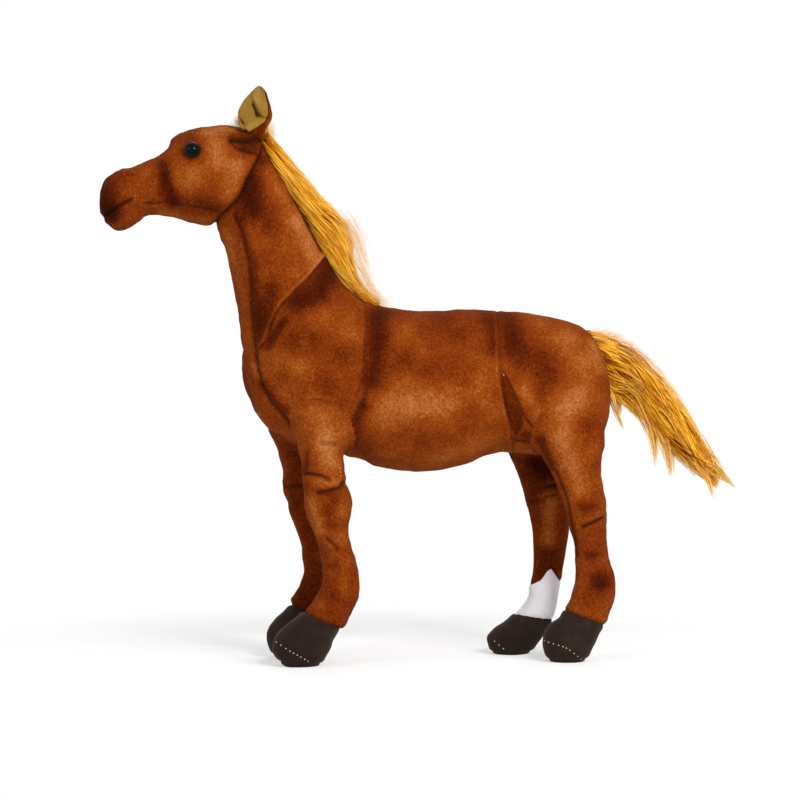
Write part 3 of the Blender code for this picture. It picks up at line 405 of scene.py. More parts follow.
# Ranges of start, turn and reach of the strands, and thickness, start and end of the cores
TAIL_ROOT_STARTS = (0.03, 0.09)
TAIL_STARTS = (0.04, 0.80)
TAIL_REACHES = (0.55, 0.9)
TAIL_CORE = (0.66, 0.03, 0.86)
MANE_STARTS = (0.03, 0.93)
MANE_TURNS = (0.3, 2.9)
MANE_REACHES = (0.6, 0.9)
MANE_CORE = (0.74, 0.03, 0.97)

# Ear, from its root to its tip in pixels: the lining, and the plush outer behind it
EAR_LINING_FRONT = [(244, 130), (241, 127), (239, 121), (238.6, 112), (242, 104.3), (246, 98.5),
    (250.8, 93.5), (253.8, 89), (257.5, 86.2)]
EAR_LINING_BACK = [(248.5, 131.7), (257.7, 126.8), (264, 121.5), (266.8, 115), (267.4, 106.5),
    (265.4, 98), (263.8, 91.2), (260.8, 86.4)]
EAR_OUTER_FRONT = [(240, 139), (243, 133), (245, 126), (245.5, 116), (248.5, 107), (253, 101),
    (256.5, 95.5), (259.6, 91)]
EAR_OUTER_BACK = [(263.5, 142), (265.5, 135), (267.4, 126.5), (271, 118.5), (272, 111), (269.2, 101),
    (267, 94.5), (262.8, 89.3)]
EAR_ROWS = 72
EAR_COLUMNS = 54
EAR_CUP = 0.0030
EAR_CLOTH = 0.0007
EAR_PLUSH = 0.0016
EAR_BEHIND = 0.0036
EAR_EDGE = 1.4
# The cup flattens towards the tip, and the outer lies close behind the lining at its back edge
EAR_TIP_FLATTER = 0.6
EAR_CLOSE_SHARE = 0.25
EAR_CLOSE = 0.35
# The outer has painted shade over this share of its length at the root, where it meets the head
EAR_ROOT_SHARE = 0.14
EAR_ROOT_PAINTED_SHADE = 4.0
# The far ear is hidden behind the near one, so it is sewn on a little further back
FAR_EAR_SETBACK = 0.0030
# Folds of the lining: outline in pixels, height, painted shade (in the recessed ones) and tone
EAR_FOLDS = [
    ([(251, 96), (255.3, 104.5), (259, 112.7), (263.3, 118), (268, 117), (269, 106), (267, 95), (262, 84),
     (254, 84)],
     0.0013, 0.0, 0.10),
    ([(252, 100.5), (255.6, 105.4), (259.2, 112.8), (263.4, 118.2), (256.2, 119.6), (254.8, 113),
     (252.4, 106.5)],
     -0.0016, 1.0, -0.1),
    ([(243.4, 129), (249, 124), (255.6, 119.9), (267, 117.4), (264.5, 122), (257.7, 127), (248.5, 132)],
     0.0018, 0.0, 0.13),
    ([(238.6, 114.6), (242.2, 119.6), (246.2, 125), (244, 127.4), (241, 123)], -0.0014, 1.0, 0.0),
]

EYE_RADIUS = 0.00575
EYE_DOME = 0.0046
EYE_RIM_SHARE = 0.90
EYE_BACK = 0.0012
EYE_STEPS = 12
# Groove round the dome: share of the radius, depth below the dome's edge
EYE_GROOVE = ((0.909, 0.00035), (0.96, 0.0003), (1.0, 0.0007))
# Flat back: share of the radius, share of the depth of the back
EYE_BACK_PROFILE = ((1.0, 0.6), (0.9, 1.0), (0.0, 1.0))
EYE_SPIN_STEPS = 56
# Points nearer than this are joined
WELD = 0.00002
# The rim's colour starts at this share of the radius and is full after so much more
EYE_RIM_START = 0.70
EYE_RIM_SOFT = 0.16

# Stitches: a line of pixels, on the near side (-1) or mirrored to the far one (1)
SOLE_STITCHES = [
    ([(275, 641), (288, 650), (299, 656), (309, 662)], -1),
    ([(543, 640), (551, 643), (561, 646), (568, 649), (576, 655), (582, 660)], -1),
    ([(493, 640), (499, 645), (505, 650)], -1),
    ([(281, 641), (294, 650), (305, 656), (315, 662)], 1),
    ([(501, 640), (509, 643), (519, 646), (526, 649), (534, 655), (540, 660)], 1),
]
FOREHEAD_LINE = [(184, 131.5), (196, 133), (212, 134), (229, 134.5)]
FOREHEAD_STITCHES = [(FOREHEAD_LINE, -1), (FOREHEAD_LINE, 1)]
DART_STITCHES = [([(340, 467), (341, 477)], -1), ([(340, 467), (341, 477)], 1)]
THREAD_ENDS = [([(503, 374), (504.5, 375.5)], -1)]
STITCH_SPACING = 4.2
DART_SPACING = 3.2
# Half of a stitch as a share of its line, and its height over the surface in radii
STITCH_SHARE = 0.02
STITCH_LIFT = 0.3
STITCH_LENGTH = 0.0011
STITCH_RADIUS = 0.00026
STITCH_SEGMENTS = (10, 6)
FINE_STITCH_RADIUS = 0.00018

# Patches of brushed pile, some of them painted shade, of one piece or (None) over all:
# line in pixels, radius in pixels, lighter above zero
TINTS = {
    "head_skin": [
        # The first patch is painted shade round the sunken eye
        ([(193, 150)], 11, -0.44), ([(216, 146), (220, 160)], 15, 0.32), ([(190, 176)], 16, 0.18),
        ([(240, 166), (228, 194)], 9, 0.26), ([(163, 166), (167, 184), (174, 199)], 7, -0.42),
        ([(104, 192), (110, 212)], 11, -0.42), ([(106, 213)], 7, -0.25),
        ([(120, 220), (132, 214)], 5, 0.1), ([(244, 148), (254, 150)], 6, -0.26),
        ([(204, 131), (234, 127)], 6, 0.26), ([(176, 199), (216, 206)], 7, -0.16),
        ([(160, 213), (205, 221)], 4, 0.18), ([(134, 186), (150, 190)], 10, -0.04),
        ([(147, 172), (163, 166)], 7, 0.1), ([(244, 134), (260, 136)], 6, -0.08),
        ([(112, 180), (126, 176)], 8, -0.14), ([(196, 174), (216, 186)], 12, 0.02),
    ],
    "neck_skin": [
        ([(250, 178), (250, 205)], 13, -0.36), ([(300, 225), (316, 256)], 13, 0.32),
        ([(268, 175), (284, 200), (294, 216)], 8, 0.14), ([(268, 225)], 10, -0.1),
        ([(256, 150), (262, 160)], 7, -0.34), ([(246, 190), (258, 214)], 14, -0.12),
        ([(280, 250), (296, 270)], 12, 0.1), ([(224, 232), (240, 288), (246, 330), (247, 352)], 6, 0.12),
        ([(240, 222), (252, 262), (256, 305), (260, 345)], 6, -0.26), ([(284, 240)], 8, 0.06),
        ([(272, 290), (266, 322)], 10, -0.3),
    ],
    "forequarter_skin": [
        ([(330, 270), (318, 292), (300, 302)], 13, -0.44), ([(304, 313)], 8, 0.06),
        ([(296, 340)], 14, -0.22), ([(284, 322), (275, 334), (268, 346)], 5, -0.34),
        ([(315, 338)], 9, -0.26), ([(350, 312), (346, 330)], 10, 0.08), ([(340, 355)], 12, -0.2),
        ([(300, 368)], 10, 0.14), ([(285, 376)], 8, -0.2), ([(328, 390)], 12, -0.14),
        ([(318, 410), (326, 432)], 14, 0.16), ([(255, 366), (268, 396), (284, 416)], 4, 0.14),
        ([(264, 384), (274, 399), (286, 411)], 6, -0.34), ([(345, 400), (338, 418)], 7, -0.08),
    ],
    "barrel_skin": [
        ([(378, 316), (376, 350), (372, 378)], 12, -0.36),
        ([(364, 408), (356, 426), (352, 442)], 7, -0.34), ([(366, 415)], 10, 0.06),
        ([(410, 330), (420, 350)], 9, 0.08), ([(404, 362)], 14, -0.14),
        ([(430, 372), (462, 376)], 14, -0.12), ([(480, 390), (494, 410)], 12, 0.14),
        ([(390, 412), (440, 404)], 20, 0.32), ([(418, 384)], 10, 0.06), ([(452, 416)], 10, 0.04),
        ([(492, 322), (494, 350)], 6, -0.14), ([(380, 452), (430, 460), (480, 446)], 9, 0.04),
        ([(440, 316)], 20, -0.1), ([(484, 306), (490, 344)], 8, -0.1),
        ([(440, 455), (490, 442)], 10, 0.12),
    ],
    "hindquarter_skin": [
        ([(506, 318), (508, 350)], 9, -0.14), ([(516, 334), (522, 362)], 12, -0.24),
        ([(538, 360), (548, 378)], 12, -0.18), ([(528, 320), (545, 322)], 9, 0.12),
        ([(562, 340), (578, 362)], 14, 0.26), ([(594, 344), (600, 370)], 9, 0.2),
        ([(602, 385)], 8, -0.04), ([(524, 388), (536, 410), (546, 424)], 7, 0.22),
        ([(512, 446), (532, 449)], 2, 0.08), ([(524, 434), (540, 442)], 5, -0.22),
    ],
    None: [
        ([(576, 399)], 20, 0.4), ([(558, 412), (560, 430)], 14, 0.16), ([(588, 424)], 12, -0.12),
        ([(326, 446), (330, 464)], 13, 0.34), ([(320, 414), (324, 428)], 13, 0.14),
    ],
    "hind_left_leg_skin": [
        ([(560, 440), (574, 466)], 12, 0.24), ([(596, 452)], 9, 0.1), ([(540, 440), (552, 466)], 5, -0.3),
        ([(588, 508)], 9, -0.22), ([(580, 486)], 10, 0.22), ([(590, 540)], 10, -0.08),
        ([(592, 556)], 7, -0.2), ([(600, 582)], 11, -0.42), ([(588, 600)], 8, -0.12),
        ([(602, 480)], 7, 0.1),
    ],
    "fore_left_leg_skin": [
        ([(318, 482), (336, 484)], 6, 0.26), ([(312, 500), (320, 530)], 7, 0.28), ([(328, 514)], 9, -0.1),
        ([(342, 512)], 7, 0.22), ([(342, 536)], 8, 0.14), ([(346, 562), (344, 590)], 6, 0.14),
        ([(322, 604)], 5, 0.1), ([(334, 496)], 5, -0.12), ([(344, 572)], 9, -0.04),
        ([(332, 596)], 9, -0.12), ([(308, 450), (306, 470)], 3, -0.2),
    ],
    "hind_right_leg_skin": [
        # The second patch is a painted shadow under the belly
        ([(550, 500), (548, 540)], 10, 0.5), ([(535, 460), (545, 470)], 9, -0.3),
        ([(545, 550)], 10, -0.1),
    ],
    "fore_right_leg_skin": [
        ([(290, 505)], 8, -0.12),
    ],
}

# Materials. Each layer of noise: scale, detail, roughness, distortion, share of the level,
# share of the height. The level picks a colour, from 0 to 255, and starts at base plus a share
# of the point's tone. "over" is a point value, its share and the colour it covers with, "bump"
# the strength and depth of the height, "uneven" the share of the last layer in the roughness
# An "over" of the point value "shade" covers with painted shade in seams, folds and recesses
LOOKS = {
    "plush_chestnut": {
        "noise": [
            (17.0, 2.0, 0.45, 0.4, 0.50, 0.0), (60.0, 2.0, 0.5, 0.5, 0.30, 0.7),
            (520.0, 2.0, 0.7, 0.0, 0.55, 0.5), (1250.0, 2.0, 0.85, 0.0, 0.75, 0.7),
        ],
        "base": -0.54, "tone": 1.0,
        "stops": [
            (0.04, (46, 9, 0)), (0.28, (74, 22, 1)), (0.50, (109, 42, 5)), (0.70, (132, 63, 13)),
            (0.96, (162, 102, 56)),
        ],
        "over": ("shade", 0.9, (26, 5, 0)), "bump": (0.8, 0.0010), "roughness": 0.92,
        "finish": {"sheen": 0.05, "sheen_tint": (255, 150, 80), "specular": 0.04},
    },
    "hoof_felt": {
        "noise": [(60.0, 3.0, 0.6, 0.0, 0.5, 0.0), (1300.0, 3.0, 0.7, 0.0, 0.5, 1.0)],
        "stops": [(0.3, (20, 12, 9)), (0.55, (36, 24, 19)), (0.8, (58, 43, 37))],
        "over": ("shade", 0.5, (14, 9, 8)), "bump": (0.5, 0.0005), "roughness": 0.92,
        "finish": {"sheen": 0.08, "sheen_tint": (255, 230, 215), "specular": 0.1},
    },
    "sock_white": {
        "noise": [(90.0, 3.0, 0.6, 0.0, 0.5, 0.0), (1100.0, 3.0, 0.7, 0.0, 0.5, 1.0)],
        "stops": [(0.25, (194, 190, 195)), (0.5, (210, 206, 211)), (0.8, (222, 219, 224))],
        "over": ("shade", 0.35, (150, 130, 118)), "bump": (0.45, 0.0005), "roughness": 0.9,
        "finish": {"sheen": 0.3},
    },
    "ear_lining_olive": {
        "noise": [(120.0, 3.0, 0.6, 0.0, 0.5, 0.0), (1400.0, 3.0, 0.7, 0.0, 0.4, 1.0)],
        "tone": 1.0,
        "stops": [(0.2, (104, 76, 14)), (0.5, (128, 98, 34)), (0.8, (152, 122, 62))],
        "over": ("shade", 0.9, (60, 22, 2)), "bump": (0.4, 0.0004), "roughness": 0.92,
        "finish": {"sheen": 0.05, "sheen_tint": (255, 230, 180), "specular": 0.1},
    },
    "pile_gold": {
        "noise": [(90.0, 3.0, 0.6, 0.0, 0.55, 0.0), (900.0, 2.0, 0.6, 0.0, 0.0, 1.0)],
        "base": -0.22, "tone": 1.1,
        "stops": [
            (0.02, (104, 46, 0)), (0.26, (168, 92, 0)), (0.58, (212, 138, 4)), (0.98, (242, 184, 58)),
        ],
        "over": ("pale", 1.0, (255, 230, 168)), "bump": (0.3, 0.0003), "roughness": 0.8,
        "finish": {"specular": 0.03},
    },
    "eye_black": {
        "noise": [(700.0, 2.0, 0.6, 0.0, 1.0, 0.0)],
        "stops": [(0.3, (2, 1, 1)), (0.8, (6, 4, 4))],
        "over": ("rim", 1.0, (30, 19, 17)), "roughness": 0.05, "uneven": 0.05,
        "finish": {"specular": 0.08},
    },
    "thread_pale": {
        "noise": [(2600.0, 2.0, 0.5, 0.0, 1.0, 1.0)],
        "stops": [(0.3, (196, 172, 150)), (0.7, (236, 222, 206))],
        "bump": (0.4, 0.0002), "roughness": 0.8,
    },
    "thread_tan": {
        "noise": [(2600.0, 2.0, 0.5, 0.0, 1.0, 1.0)],
        "stops": [(0.3, (176, 116, 76)), (0.7, (226, 176, 138))],
        "bump": (0.4, 0.0002), "roughness": 0.8,
    },
    "tape_tan": {
        "noise": [(900.0, 2.0, 0.6, 0.2, 0.5, 0.0), (2400.0, 2.0, 0.5, 0.0, 0.5, 1.0)],
        "stops": [(0.3, (118, 58, 4)), (0.5, (158, 88, 10)), (0.7, (192, 120, 24))],
        "bump": (0.5, 0.0003), "roughness": 0.85, "finish": {"specular": 0.15},
    },
    "washer_plastic": {
        "noise": [(300.0, 2.0, 0.5, 0.0, 1.0, 0.0)],
        "stops": [(0.3, (206, 202, 192)), (0.7, (224, 221, 212))],
        "roughness": 0.38, "uneven": 0.15, "finish": {"specular": 0.5},
    },
}

WHITE = (255, 255, 255)
SHEEN_ROUGHNESS = 0.5
PLAIN_SPECULAR = 0.25

LAMPS = {
    "key": {"place": (0.45, -1.35, 1.05), "size": 0.4, "energy": 19.0, "colour": (1.0, 0.98, 0.95)},
    "second": {"place": (0.85, -1.15, 0.85), "size": 0.35, "energy": 7.0},
    "fill": {"place": (-1.3, -1.0, 0.8), "size": 1.2, "energy": 7.0},
    "rim": {"place": (0.3, 1.5, 1.4), "size": 1.2, "energy": 6.0},
}
LAMP_AIM = (0.0, 0.0, 0.2)
WORLD_STRENGTH = 0.55
FLOOR_RADIUS = 6.0
FLOOR_SEGMENTS = 96
FLOOR_COLOUR = (0.92, 0.92, 0.92, 1.0)
# Near the horse the floor shows its shadow, further off it is as white as the background
FLOOR_FADE = {"From Min": 0.16, "From Max": 0.42, "To Min": 0.45, "To Max": 1.0}


def camera_axes():
    back = Vector((math.sin(CAMERA_AZIMUTH) * math.cos(CAMERA_ELEVATION),
                   -math.cos(CAMERA_AZIMUTH) * math.cos(CAMERA_ELEVATION),
                   math.sin(CAMERA_ELEVATION)))
    right = Vector((math.cos(CAMERA_AZIMUTH), math.sin(CAMERA_AZIMUTH), 0.0))
    return right, back.cross(right), back


def project(points):
    """Pixels of the photograph at which points of the model appear."""
    right, up, back = (np.array(axis) for axis in camera_axes())
    away = points - np.array(CAMERA_TARGET)
    depth = CAMERA_DISTANCE - away @ back
    zoom = CAMERA_DISTANCE / PIXEL
    middle = FRAME_PIXELS / 2
    return np.stack([middle + zoom * (away @ right) / depth, middle - zoom * (away @ up) / depth], axis=-1)


def at_pixel(pixels, side):
    """Points of the plane y = side that appear at these pixels."""
    pixels = np.asarray(pixels, float)
    right, up, back = (np.array(axis) for axis in camera_axes())
    zoom = CAMERA_DISTANCE / PIXEL
    away = (pixels - FRAME_PIXELS / 2) / zoom
    rays = away[..., :1] * right - away[..., 1:] * up - back
    eye = np.array(CAMERA_TARGET) + back * CAMERA_DISTANCE
    return eye + rays * ((side - eye[1]) / rays[..., 1])[..., None]


def smooth_curve(corners, shares):
    """Points at shares from 0 to 1 of a smooth curve through corners."""
    corners = np.array(corners, float)
    last = len(corners) - 1
    place = np.clip(np.asarray(shares, float), 0.0, 1.0) * last
    index = np.minimum(place.astype(int), last - 1)
    part = (place - index)[..., None]
    p0, p1 = corners[np.maximum(index - 1, 0)], corners[index]
    p2, p3 = corners[index + 1], corners[np.minimum(index + 2, last)]
    bend = 2 * p0 - 5 * p1 + 4 * p2 - p3
    turn = 3 * p1 - p0 - 3 * p2 + p3
    return 0.5 * (2 * p1 + (p2 - p0) * part + bend * part ** 2 + turn * part ** 3)


def line_offsets(pixels, line):
    """Distance to a line in metres, and 1 on the side of greater x where it runs down, else -1."""
    best = np.full(len(pixels), np.inf)
    sign = np.ones(len(pixels))
    corners = np.array(line, float)
    for start, end in zip(corners, corners[1:]):
        along = end - start
        share = np.clip(((pixels - start) @ along) / (along @ along), 0.0, 1.0)
        away = pixels - (start + share[:, None] * along)
        apart = np.linalg.norm(away, axis=1)
        nearer = apart < best
        turn = along[1] * away[:, 0] - along[0] * away[:, 1]
        sign[nearer] = np.where(turn[nearer] >= 0.0, 1.0, -1.0)
        best[nearer] = apart[nearer]
    return best * PIXEL, sign


def line_distance(pixels, line):
    return line_offsets(pixels, line)[0]


def read_values(elements, key, width, kind=np.float32):
    values = np.empty(len(elements) * width, kind)
    elements.foreach_get(key, values)
    return values.reshape(-1, width)


def mesh_points(mesh):
    return read_values(mesh.vertices, "co", 3).astype(float)


def mesh_normals(mesh):
    return read_values(mesh.vertex_normals, "vector", 3).astype(float)


def set_points(mesh, points):
    mesh.vertices.foreach_set("co", points.astype(np.float32).ravel())
    mesh.update()


def mesh_edges(mesh):
    return read_values(mesh.edges, "vertices", 2, np.int32)


def mesh_of(work, name):
    """The mesh of a bmesh, which is freed."""
    mesh = bpy.data.meshes.new(name)
    work.to_mesh(mesh)
    work.free()
    return mesh


def add_values(mesh, key, values):
    layer = mesh.attributes.new(key, "FLOAT", "POINT")
    layer.data.foreach_set("value", values.astype(np.float32))


def modified(mesh, kind, **settings):
    """The mesh that a modifier makes of this one."""
    holder = bpy.data.objects.new("holder", mesh)
    bpy.context.scene.collection.objects.link(holder)
    modifier = holder.modifiers.new("modifier", kind)
    for key, value in settings.items():
        setattr(modifier, key, value)
    bpy.context.view_layer.update()
    result = bpy.data.meshes.new_from_object(holder.evaluated_get(bpy.context.evaluated_depsgraph_get()))
    bpy.data.objects.remove(holder)
    return result


def placed(place, direction):
    """Matrix that turns Z to a direction and moves the origin to a place."""
    return Matrix.Translation(place) @ direction.to_track_quat("Z", "Y").to_matrix().to_4x4()


def neighbour_mean(points, edges, count):
    total = np.empty_like(points)
    degree = np.maximum(np.bincount(edges.ravel(), minlength=count), 1)
    for axis in range(3):
        near = np.bincount(edges[:, 0], points[edges[:, 1], axis], count)
        far = np.bincount(edges[:, 1], points[edges[:, 0], axis], count)
        total[:, axis] = (near + far) / degree
    return total


def smoothed(points, edges, rounds, weight=None, keep_volume=True):
    """Even out a surface. With keep_volume each step in is followed by one out."""
    count = len(points)
    factors = (STEP_IN, STEP_OUT) if keep_volume else (STEP_IN,)
    for _ in range(rounds):
        for factor in factors:
            step = (neighbour_mean(points, edges, count) - points) * factor
            points = points + (step if weight is None else step * weight[:, None])
    return points


def node_tree(name):
    mesh = frame["nodes"][name].data
    mesh.calc_loop_triangles()
    points = [vertex.co.copy() for vertex in mesh.vertices]
    return BVHTree.FromPolygons(points, [tuple(t.vertices) for t in mesh.loop_triangles])


def node_distances(points, names):
    """Distance of each point to each node, large where the node is out of reach."""
    distances = np.full((len(names), len(points)), OUT_OF_REACH)
    for row, name in enumerate(names):
        low, high = (np.array(corner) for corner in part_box(name))
        close = np.all((points > low - NODE_REACH) & (points < high + NODE_REACH), axis=1)
        tree = node_tree(name)
        for index in np.nonzero(close)[0]:
            distances[row, index] = tree.find_nearest(points[index])[3]
    return distances


def eye_axis(side):
    """Middle of an eye's washer, top of its dome, and the direction from one to the other."""
    low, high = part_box("eye_washer_" + side)
    inner = (low + high) / 2
    points = mesh_points(frame["nodes"]["eye_" + side].data)
    outside = np.abs(points[:, 1]) > abs(inner.y)
    away = np.linalg.norm(points - np.array(inner), axis=1)
    top = Vector(points[np.argmax(away * outside)])
    return inner, top, (top - inner).normalized()


def body_surface():
    """One closed surface round all stuffed forms, taken from the frame."""
    work = bmesh.new()
    for name in SURFACE_NODES + FILLINGS:
        work.from_mesh(frame["nodes"][name].data)
    for side in ("left", "right"):
        inner, top, out = eye_axis(side)
        length = (top - inner).length - EYE_SOCKET_DEPTH - EYE_DOME + PLUG_BEHIND
        place = placed(inner + out * (length / 2 - PLUG_BEHIND), out)
        bmesh.ops.create_cone(work, cap_ends=True, segments=PLUG_SEGMENTS, radius1=PLUG_RADII[0],
                              radius2=PLUG_RADII[1], depth=length, matrix=place)
    return modified(mesh_of(work, "body_source"), "REMESH", mode="VOXEL", voxel_size=BODY_VOXEL)


def largest_island(mesh):
    """Keeps only the outermost surface, without closed hollows inside it."""
    work = bmesh.new()
    work.from_mesh(mesh)
    work.verts.ensure_lookup_table()
    seen = set()
    islands = []
    for start in work.verts:
        if start in seen:
            continue
        island = []
        stack = [start]
        seen.add(start)
        while stack:
            vertex = stack.pop()
            island.append(vertex)
            for edge in vertex.link_edges:
                other = edge.other_vert(vertex)
                if other not in seen:
                    seen.add(other)
                    stack.append(other)
        islands.append(island)
    islands.sort(key=len)
    for island in islands[:-1]:
        bmesh.ops.delete(work, geom=island, context="VERTS")
    work.to_mesh(mesh)
    work.free()
    mesh.update()
    return mesh


def value_noise(points, scale, seed, octaves=3):
    """Soft noise from about -1 to 1 at points."""
    shift = Vector(NOISE_STEP) * seed
    return np.array([noise.fractal(Vector(p) * scale + shift, 1.0, 2.0, octaves) for p in points])


def patch_sum(table, pixels, near_pixels, labels):
    """Soft patches round points or lines of pixels, each within its piece or over all of them."""
    total = np.zeros(len(pixels))
    for node, patches in table.items():
        places = pixels if node else near_pixels
        within = labels == SURFACE_NODES.index(node) if node else 1.0
        for line, radius, value in patches:
            corners = line if len(line) > 1 else line + [(line[0][0] + POINT_LENGTH, line[0][1])]
            total += np.exp(-(line_distance(places, corners) / (radius * PIXEL)) ** 2) * within * value
    return total


def draw_seams(distances, pixels):
    """Moves the borders between the trunk's skins onto the seam lines."""
    labels = distances.argmin(axis=0)
    for (first, second), line in SEAM_LINES.items():
        a, b = SURFACE_NODES.index(first), SURFACE_NODES.index(second)
        own = (labels == a) | (labels == b)
        apart, sign = line_offsets(pixels[own], line)
        side = apart * sign
        base = np.minimum(distances[a, own], distances[b, own])
        distances[a, own] = base + np.maximum(side, 0.0)
        distances[b, own] = base + np.maximum(-side, 0.0)


def inside_share(pixels, outline, edge):
    """1 inside an outline of pixels, falling to 0 at its border over a width of edge."""
    inside = np.zeros(len(pixels), bool)
    for (x0, y0), (x1, y1) in zip(outline, outline[1:] + outline[:1]):
        crosses = (y0 > pixels[:, 1]) != (y1 > pixels[:, 1])
        if y0 != y1:
            inside ^= crosses & (pixels[:, 0] < x0 + (x1 - x0) * (pixels[:, 1] - y0) / (y1 - y0))
    apart = line_distance(pixels, outline + outline[:1]) / PIXEL
    share = np.clip(apart / edge, 0.0, 1.0) * inside
    return share * share * (3.0 - 2.0 * share)


def line_profile(apart, width, place=0.0, spread=1.0):
    """1 at place half widths from a line, falling off over spread half widths."""
    return np.exp(-((apart - place * width) / (spread * width)) ** 2)


def press_seams(distances, labels, pixels, push, shade, tones):
    """Adds grooves between pieces with painted shade in them, and puffs and ridges with a painted highlight
    beside them, to push, shade and tones.
    """
    puff_place, puff_spread, puff_share = SEAM_PUFF
    ridge_place, ridge_spread, ridge_share = RIDGE_PUFF
    for pair, (depth, width, painted_shade) in SEAM_GROOVES.items():
        a, b = (SURFACE_NODES.index(name) for name in pair)
        apart = np.abs(distances[a] - distances[b])
        apart[(labels != a) & (labels != b)] = OUT_OF_REACH
        ending = 1.0
        if pair[0] == "neck_skin":
            ending = np.clip((pixels[:, 0] - SEAM_END_X) / SEAM_END_SOFT, 0.0, 1.0)
        groove = line_profile(apart, width) * ending
        puff = line_profile(apart, width, puff_place, puff_spread) * ending
        push += puff * depth * puff_share - groove * depth
        np.maximum(shade, groove * painted_shade, out=shade)
        if pair in SEAM_RIDGE_HIGHLIGHTS:
            ridge = line_profile(apart, width, ridge_place, ridge_spread) * (labels == a) * ending
            # Painted highlight on the raised ridge
            tones += ridge * SEAM_RIDGE_HIGHLIGHTS[pair]
            push += ridge * depth * ridge_share


def press_creases(labels, pixels, normals, push, shade):
    """Adds sewn lines and folds with painted shade in them, shallower where the surface turns away, to push
    and shade.
    """
    facing = np.clip(np.abs(normals[:, 1]) * CREASE_FADE, 0.0, 1.0)
    place, spread, share = CREASE_PUFF
    for node, creases in CREASES.items():
        elsewhere = labels != SURFACE_NODES.index(node)
        for line, depth, width, painted_shade in creases.values():
            apart = line_distance(pixels, line)
            apart[elsewhere] = OUT_OF_REACH
            groove = line_profile(apart, width)
            push += line_profile(apart, width, place, spread) * depth * share - groove * depth * facing
            np.maximum(shade, groove * painted_shade, out=shade)


def blended_surface():
    """The surface smoothed, and more so where the legs meet the trunk."""
    mesh = largest_island(body_surface())
    points, edges = mesh_points(mesh), mesh_edges(mesh)
    even = smoothed(points, edges, SMOOTH_ROUNDS)
    points = even + smoothed(points - even, edges, RESTORE_ROUNDS, keep_volume=False)
    distances = node_distances(points, TRUNK + LEG_SKINS)
    trunk = distances[:len(TRUNK)].min(axis=0)
    legs = distances[len(TRUNK):].min(axis=0)
    weight = np.clip(1.0 - np.maximum(trunk, legs) / BLEND_REACH, 0.0, 1.0)
    set_points(mesh, smoothed(points, edges, BLEND_ROUNDS, weight, keep_volume=False))
    return modified(mesh, "SUBSURF", levels=1, render_levels=1)


def shaped_body():
    """The body surface with seams, folds and soft lumps, its node distances, shade and tones."""
    mesh = blended_surface()
    points, normals = mesh_points(mesh), mesh_normals(mesh)
    distances = node_distances(points, SURFACE_NODES)
    near_pixels = project(np.where(points[:, 1:2] > 0, points * MIRROR, points))
    draw_seams(distances, near_pixels)
    labels = distances.argmin(axis=0)
    on_right = np.isin(labels, [row for row, name in enumerate(SURFACE_NODES) if "right" in name])
    pixels = near_pixels.copy()
    pixels[on_right] = project(points[on_right])
    push = sum(value_noise(points, scale, seed) * height for scale, seed, height in LUMPS)
    shade, tones = np.zeros(len(points)), np.zeros(len(points))
    press_seams(distances, labels, pixels, push, shade, tones)
    press_creases(labels, pixels, normals, push, shade)
    push += patch_sum(SWELLS, pixels, pixels, labels)
    on_hindquarter = labels == SURFACE_NODES.index("hindquarter_skin")
    push -= inside_share(pixels, FLANK_PANEL, FLANK_EDGE) * on_hindquarter * FLANK_DEPTH
    flat = points[:, 2] < SOLE_REACH
    push[flat] = np.minimum(push[flat], 0.0)
    points = points + normals * push[:, None]
    points[:, 2] = np.maximum(points[:, 2], FLOOR_GAP)
    set_points(mesh, points)
    return mesh, distances, shade, tones + brushed_and_shaded_tones(mesh, labels, pixels, near_pixels)


def brushed_and_shaded_tones(mesh, labels, pixels, near_pixels):
    """How light the pile is at each point: brushed patches, some of them painted shade, a darker flank
    panel, and painted shade on the inner sides of the legs.

    A patch of no one piece runs over the borders, on the far side as on the near one.
    """
    tones = patch_sum(TINTS, pixels, near_pixels, labels)
    tones += inside_share(near_pixels, FLANK_PANEL, FLANK_EDGE) * FLANK_TONE
    # Painted shade on the inner sides of the legs
    inner = np.clip(-mesh_normals(mesh)[:, 1] * np.sign(mesh_points(mesh)[:, 1]), 0.0, 1.0)
    on_leg = np.isin(labels, [SURFACE_NODES.index(name) for name in LEG_SKINS])
    return tones + INNER_LEG_PAINTED_SHADE * inner * on_leg


def cut_between_labels(work, distances, label):
    """Splits edges and faces where the nearest node changes, so that borders run true."""
    border = work.verts.layers.int.new("border")
    names = work.verts.layers.int.new("label")
    for vertex, own in zip(work.verts, label):
        vertex[names] = int(own)
    for edge in [e for e in work.edges if e.verts[0][names] != e.verts[1][names]]:
        first, second = edge.verts
        a, b = first[names], second[names]
        near = distances[a, first.index] - distances[b, first.index]
        far = distances[a, second.index] - distances[b, second.index]
        share = min(max(near / (near - far), CUT_MARGIN), 1.0 - CUT_MARGIN) if near != far else 0.5
        place = first.co.lerp(second.co, share)
        middle = bmesh.utils.edge_split(edge, first, share)[1]
        middle.co = place
        middle[border] = 1
    for face in [f for f in work.faces if sum(v[border] for v in f.verts) >= 2]:
        marked = [v for v in face.verts if v[border]]
        piece = face
        for start, end in zip(marked, marked[1:]):
            if start in piece.verts and end in piece.verts:
                if not any(end in edge.verts for edge in start.link_edges if edge in piece.edges):
                    made = bmesh.utils.face_split(piece, start, end)
                    if made is not None and made[0] is not None:
                        others = [f for f in (piece, made[0]) if marked[-1] in f.verts]
                        piece = others[0] if others else piece
    return border, names


def face_label(face, border, names):
    own = [v[names] for v in face.verts if not v[border]]
    return max(set(own), key=own.count) if own else None


def face_groups(work, border, names):
    """Faces by the label of their piece. A face that lies on a border takes its neighbour's."""
    groups = {}
    for face in work.faces:
        own = face_label(face, border, names)
        if own is None:
            beside = (face_label(f, border, names) for e in face.edges for f in e.link_faces if f != face)
            own = next((label for label in beside if label is not None), 0)
        groups.setdefault(own, []).append(face)
    return groups


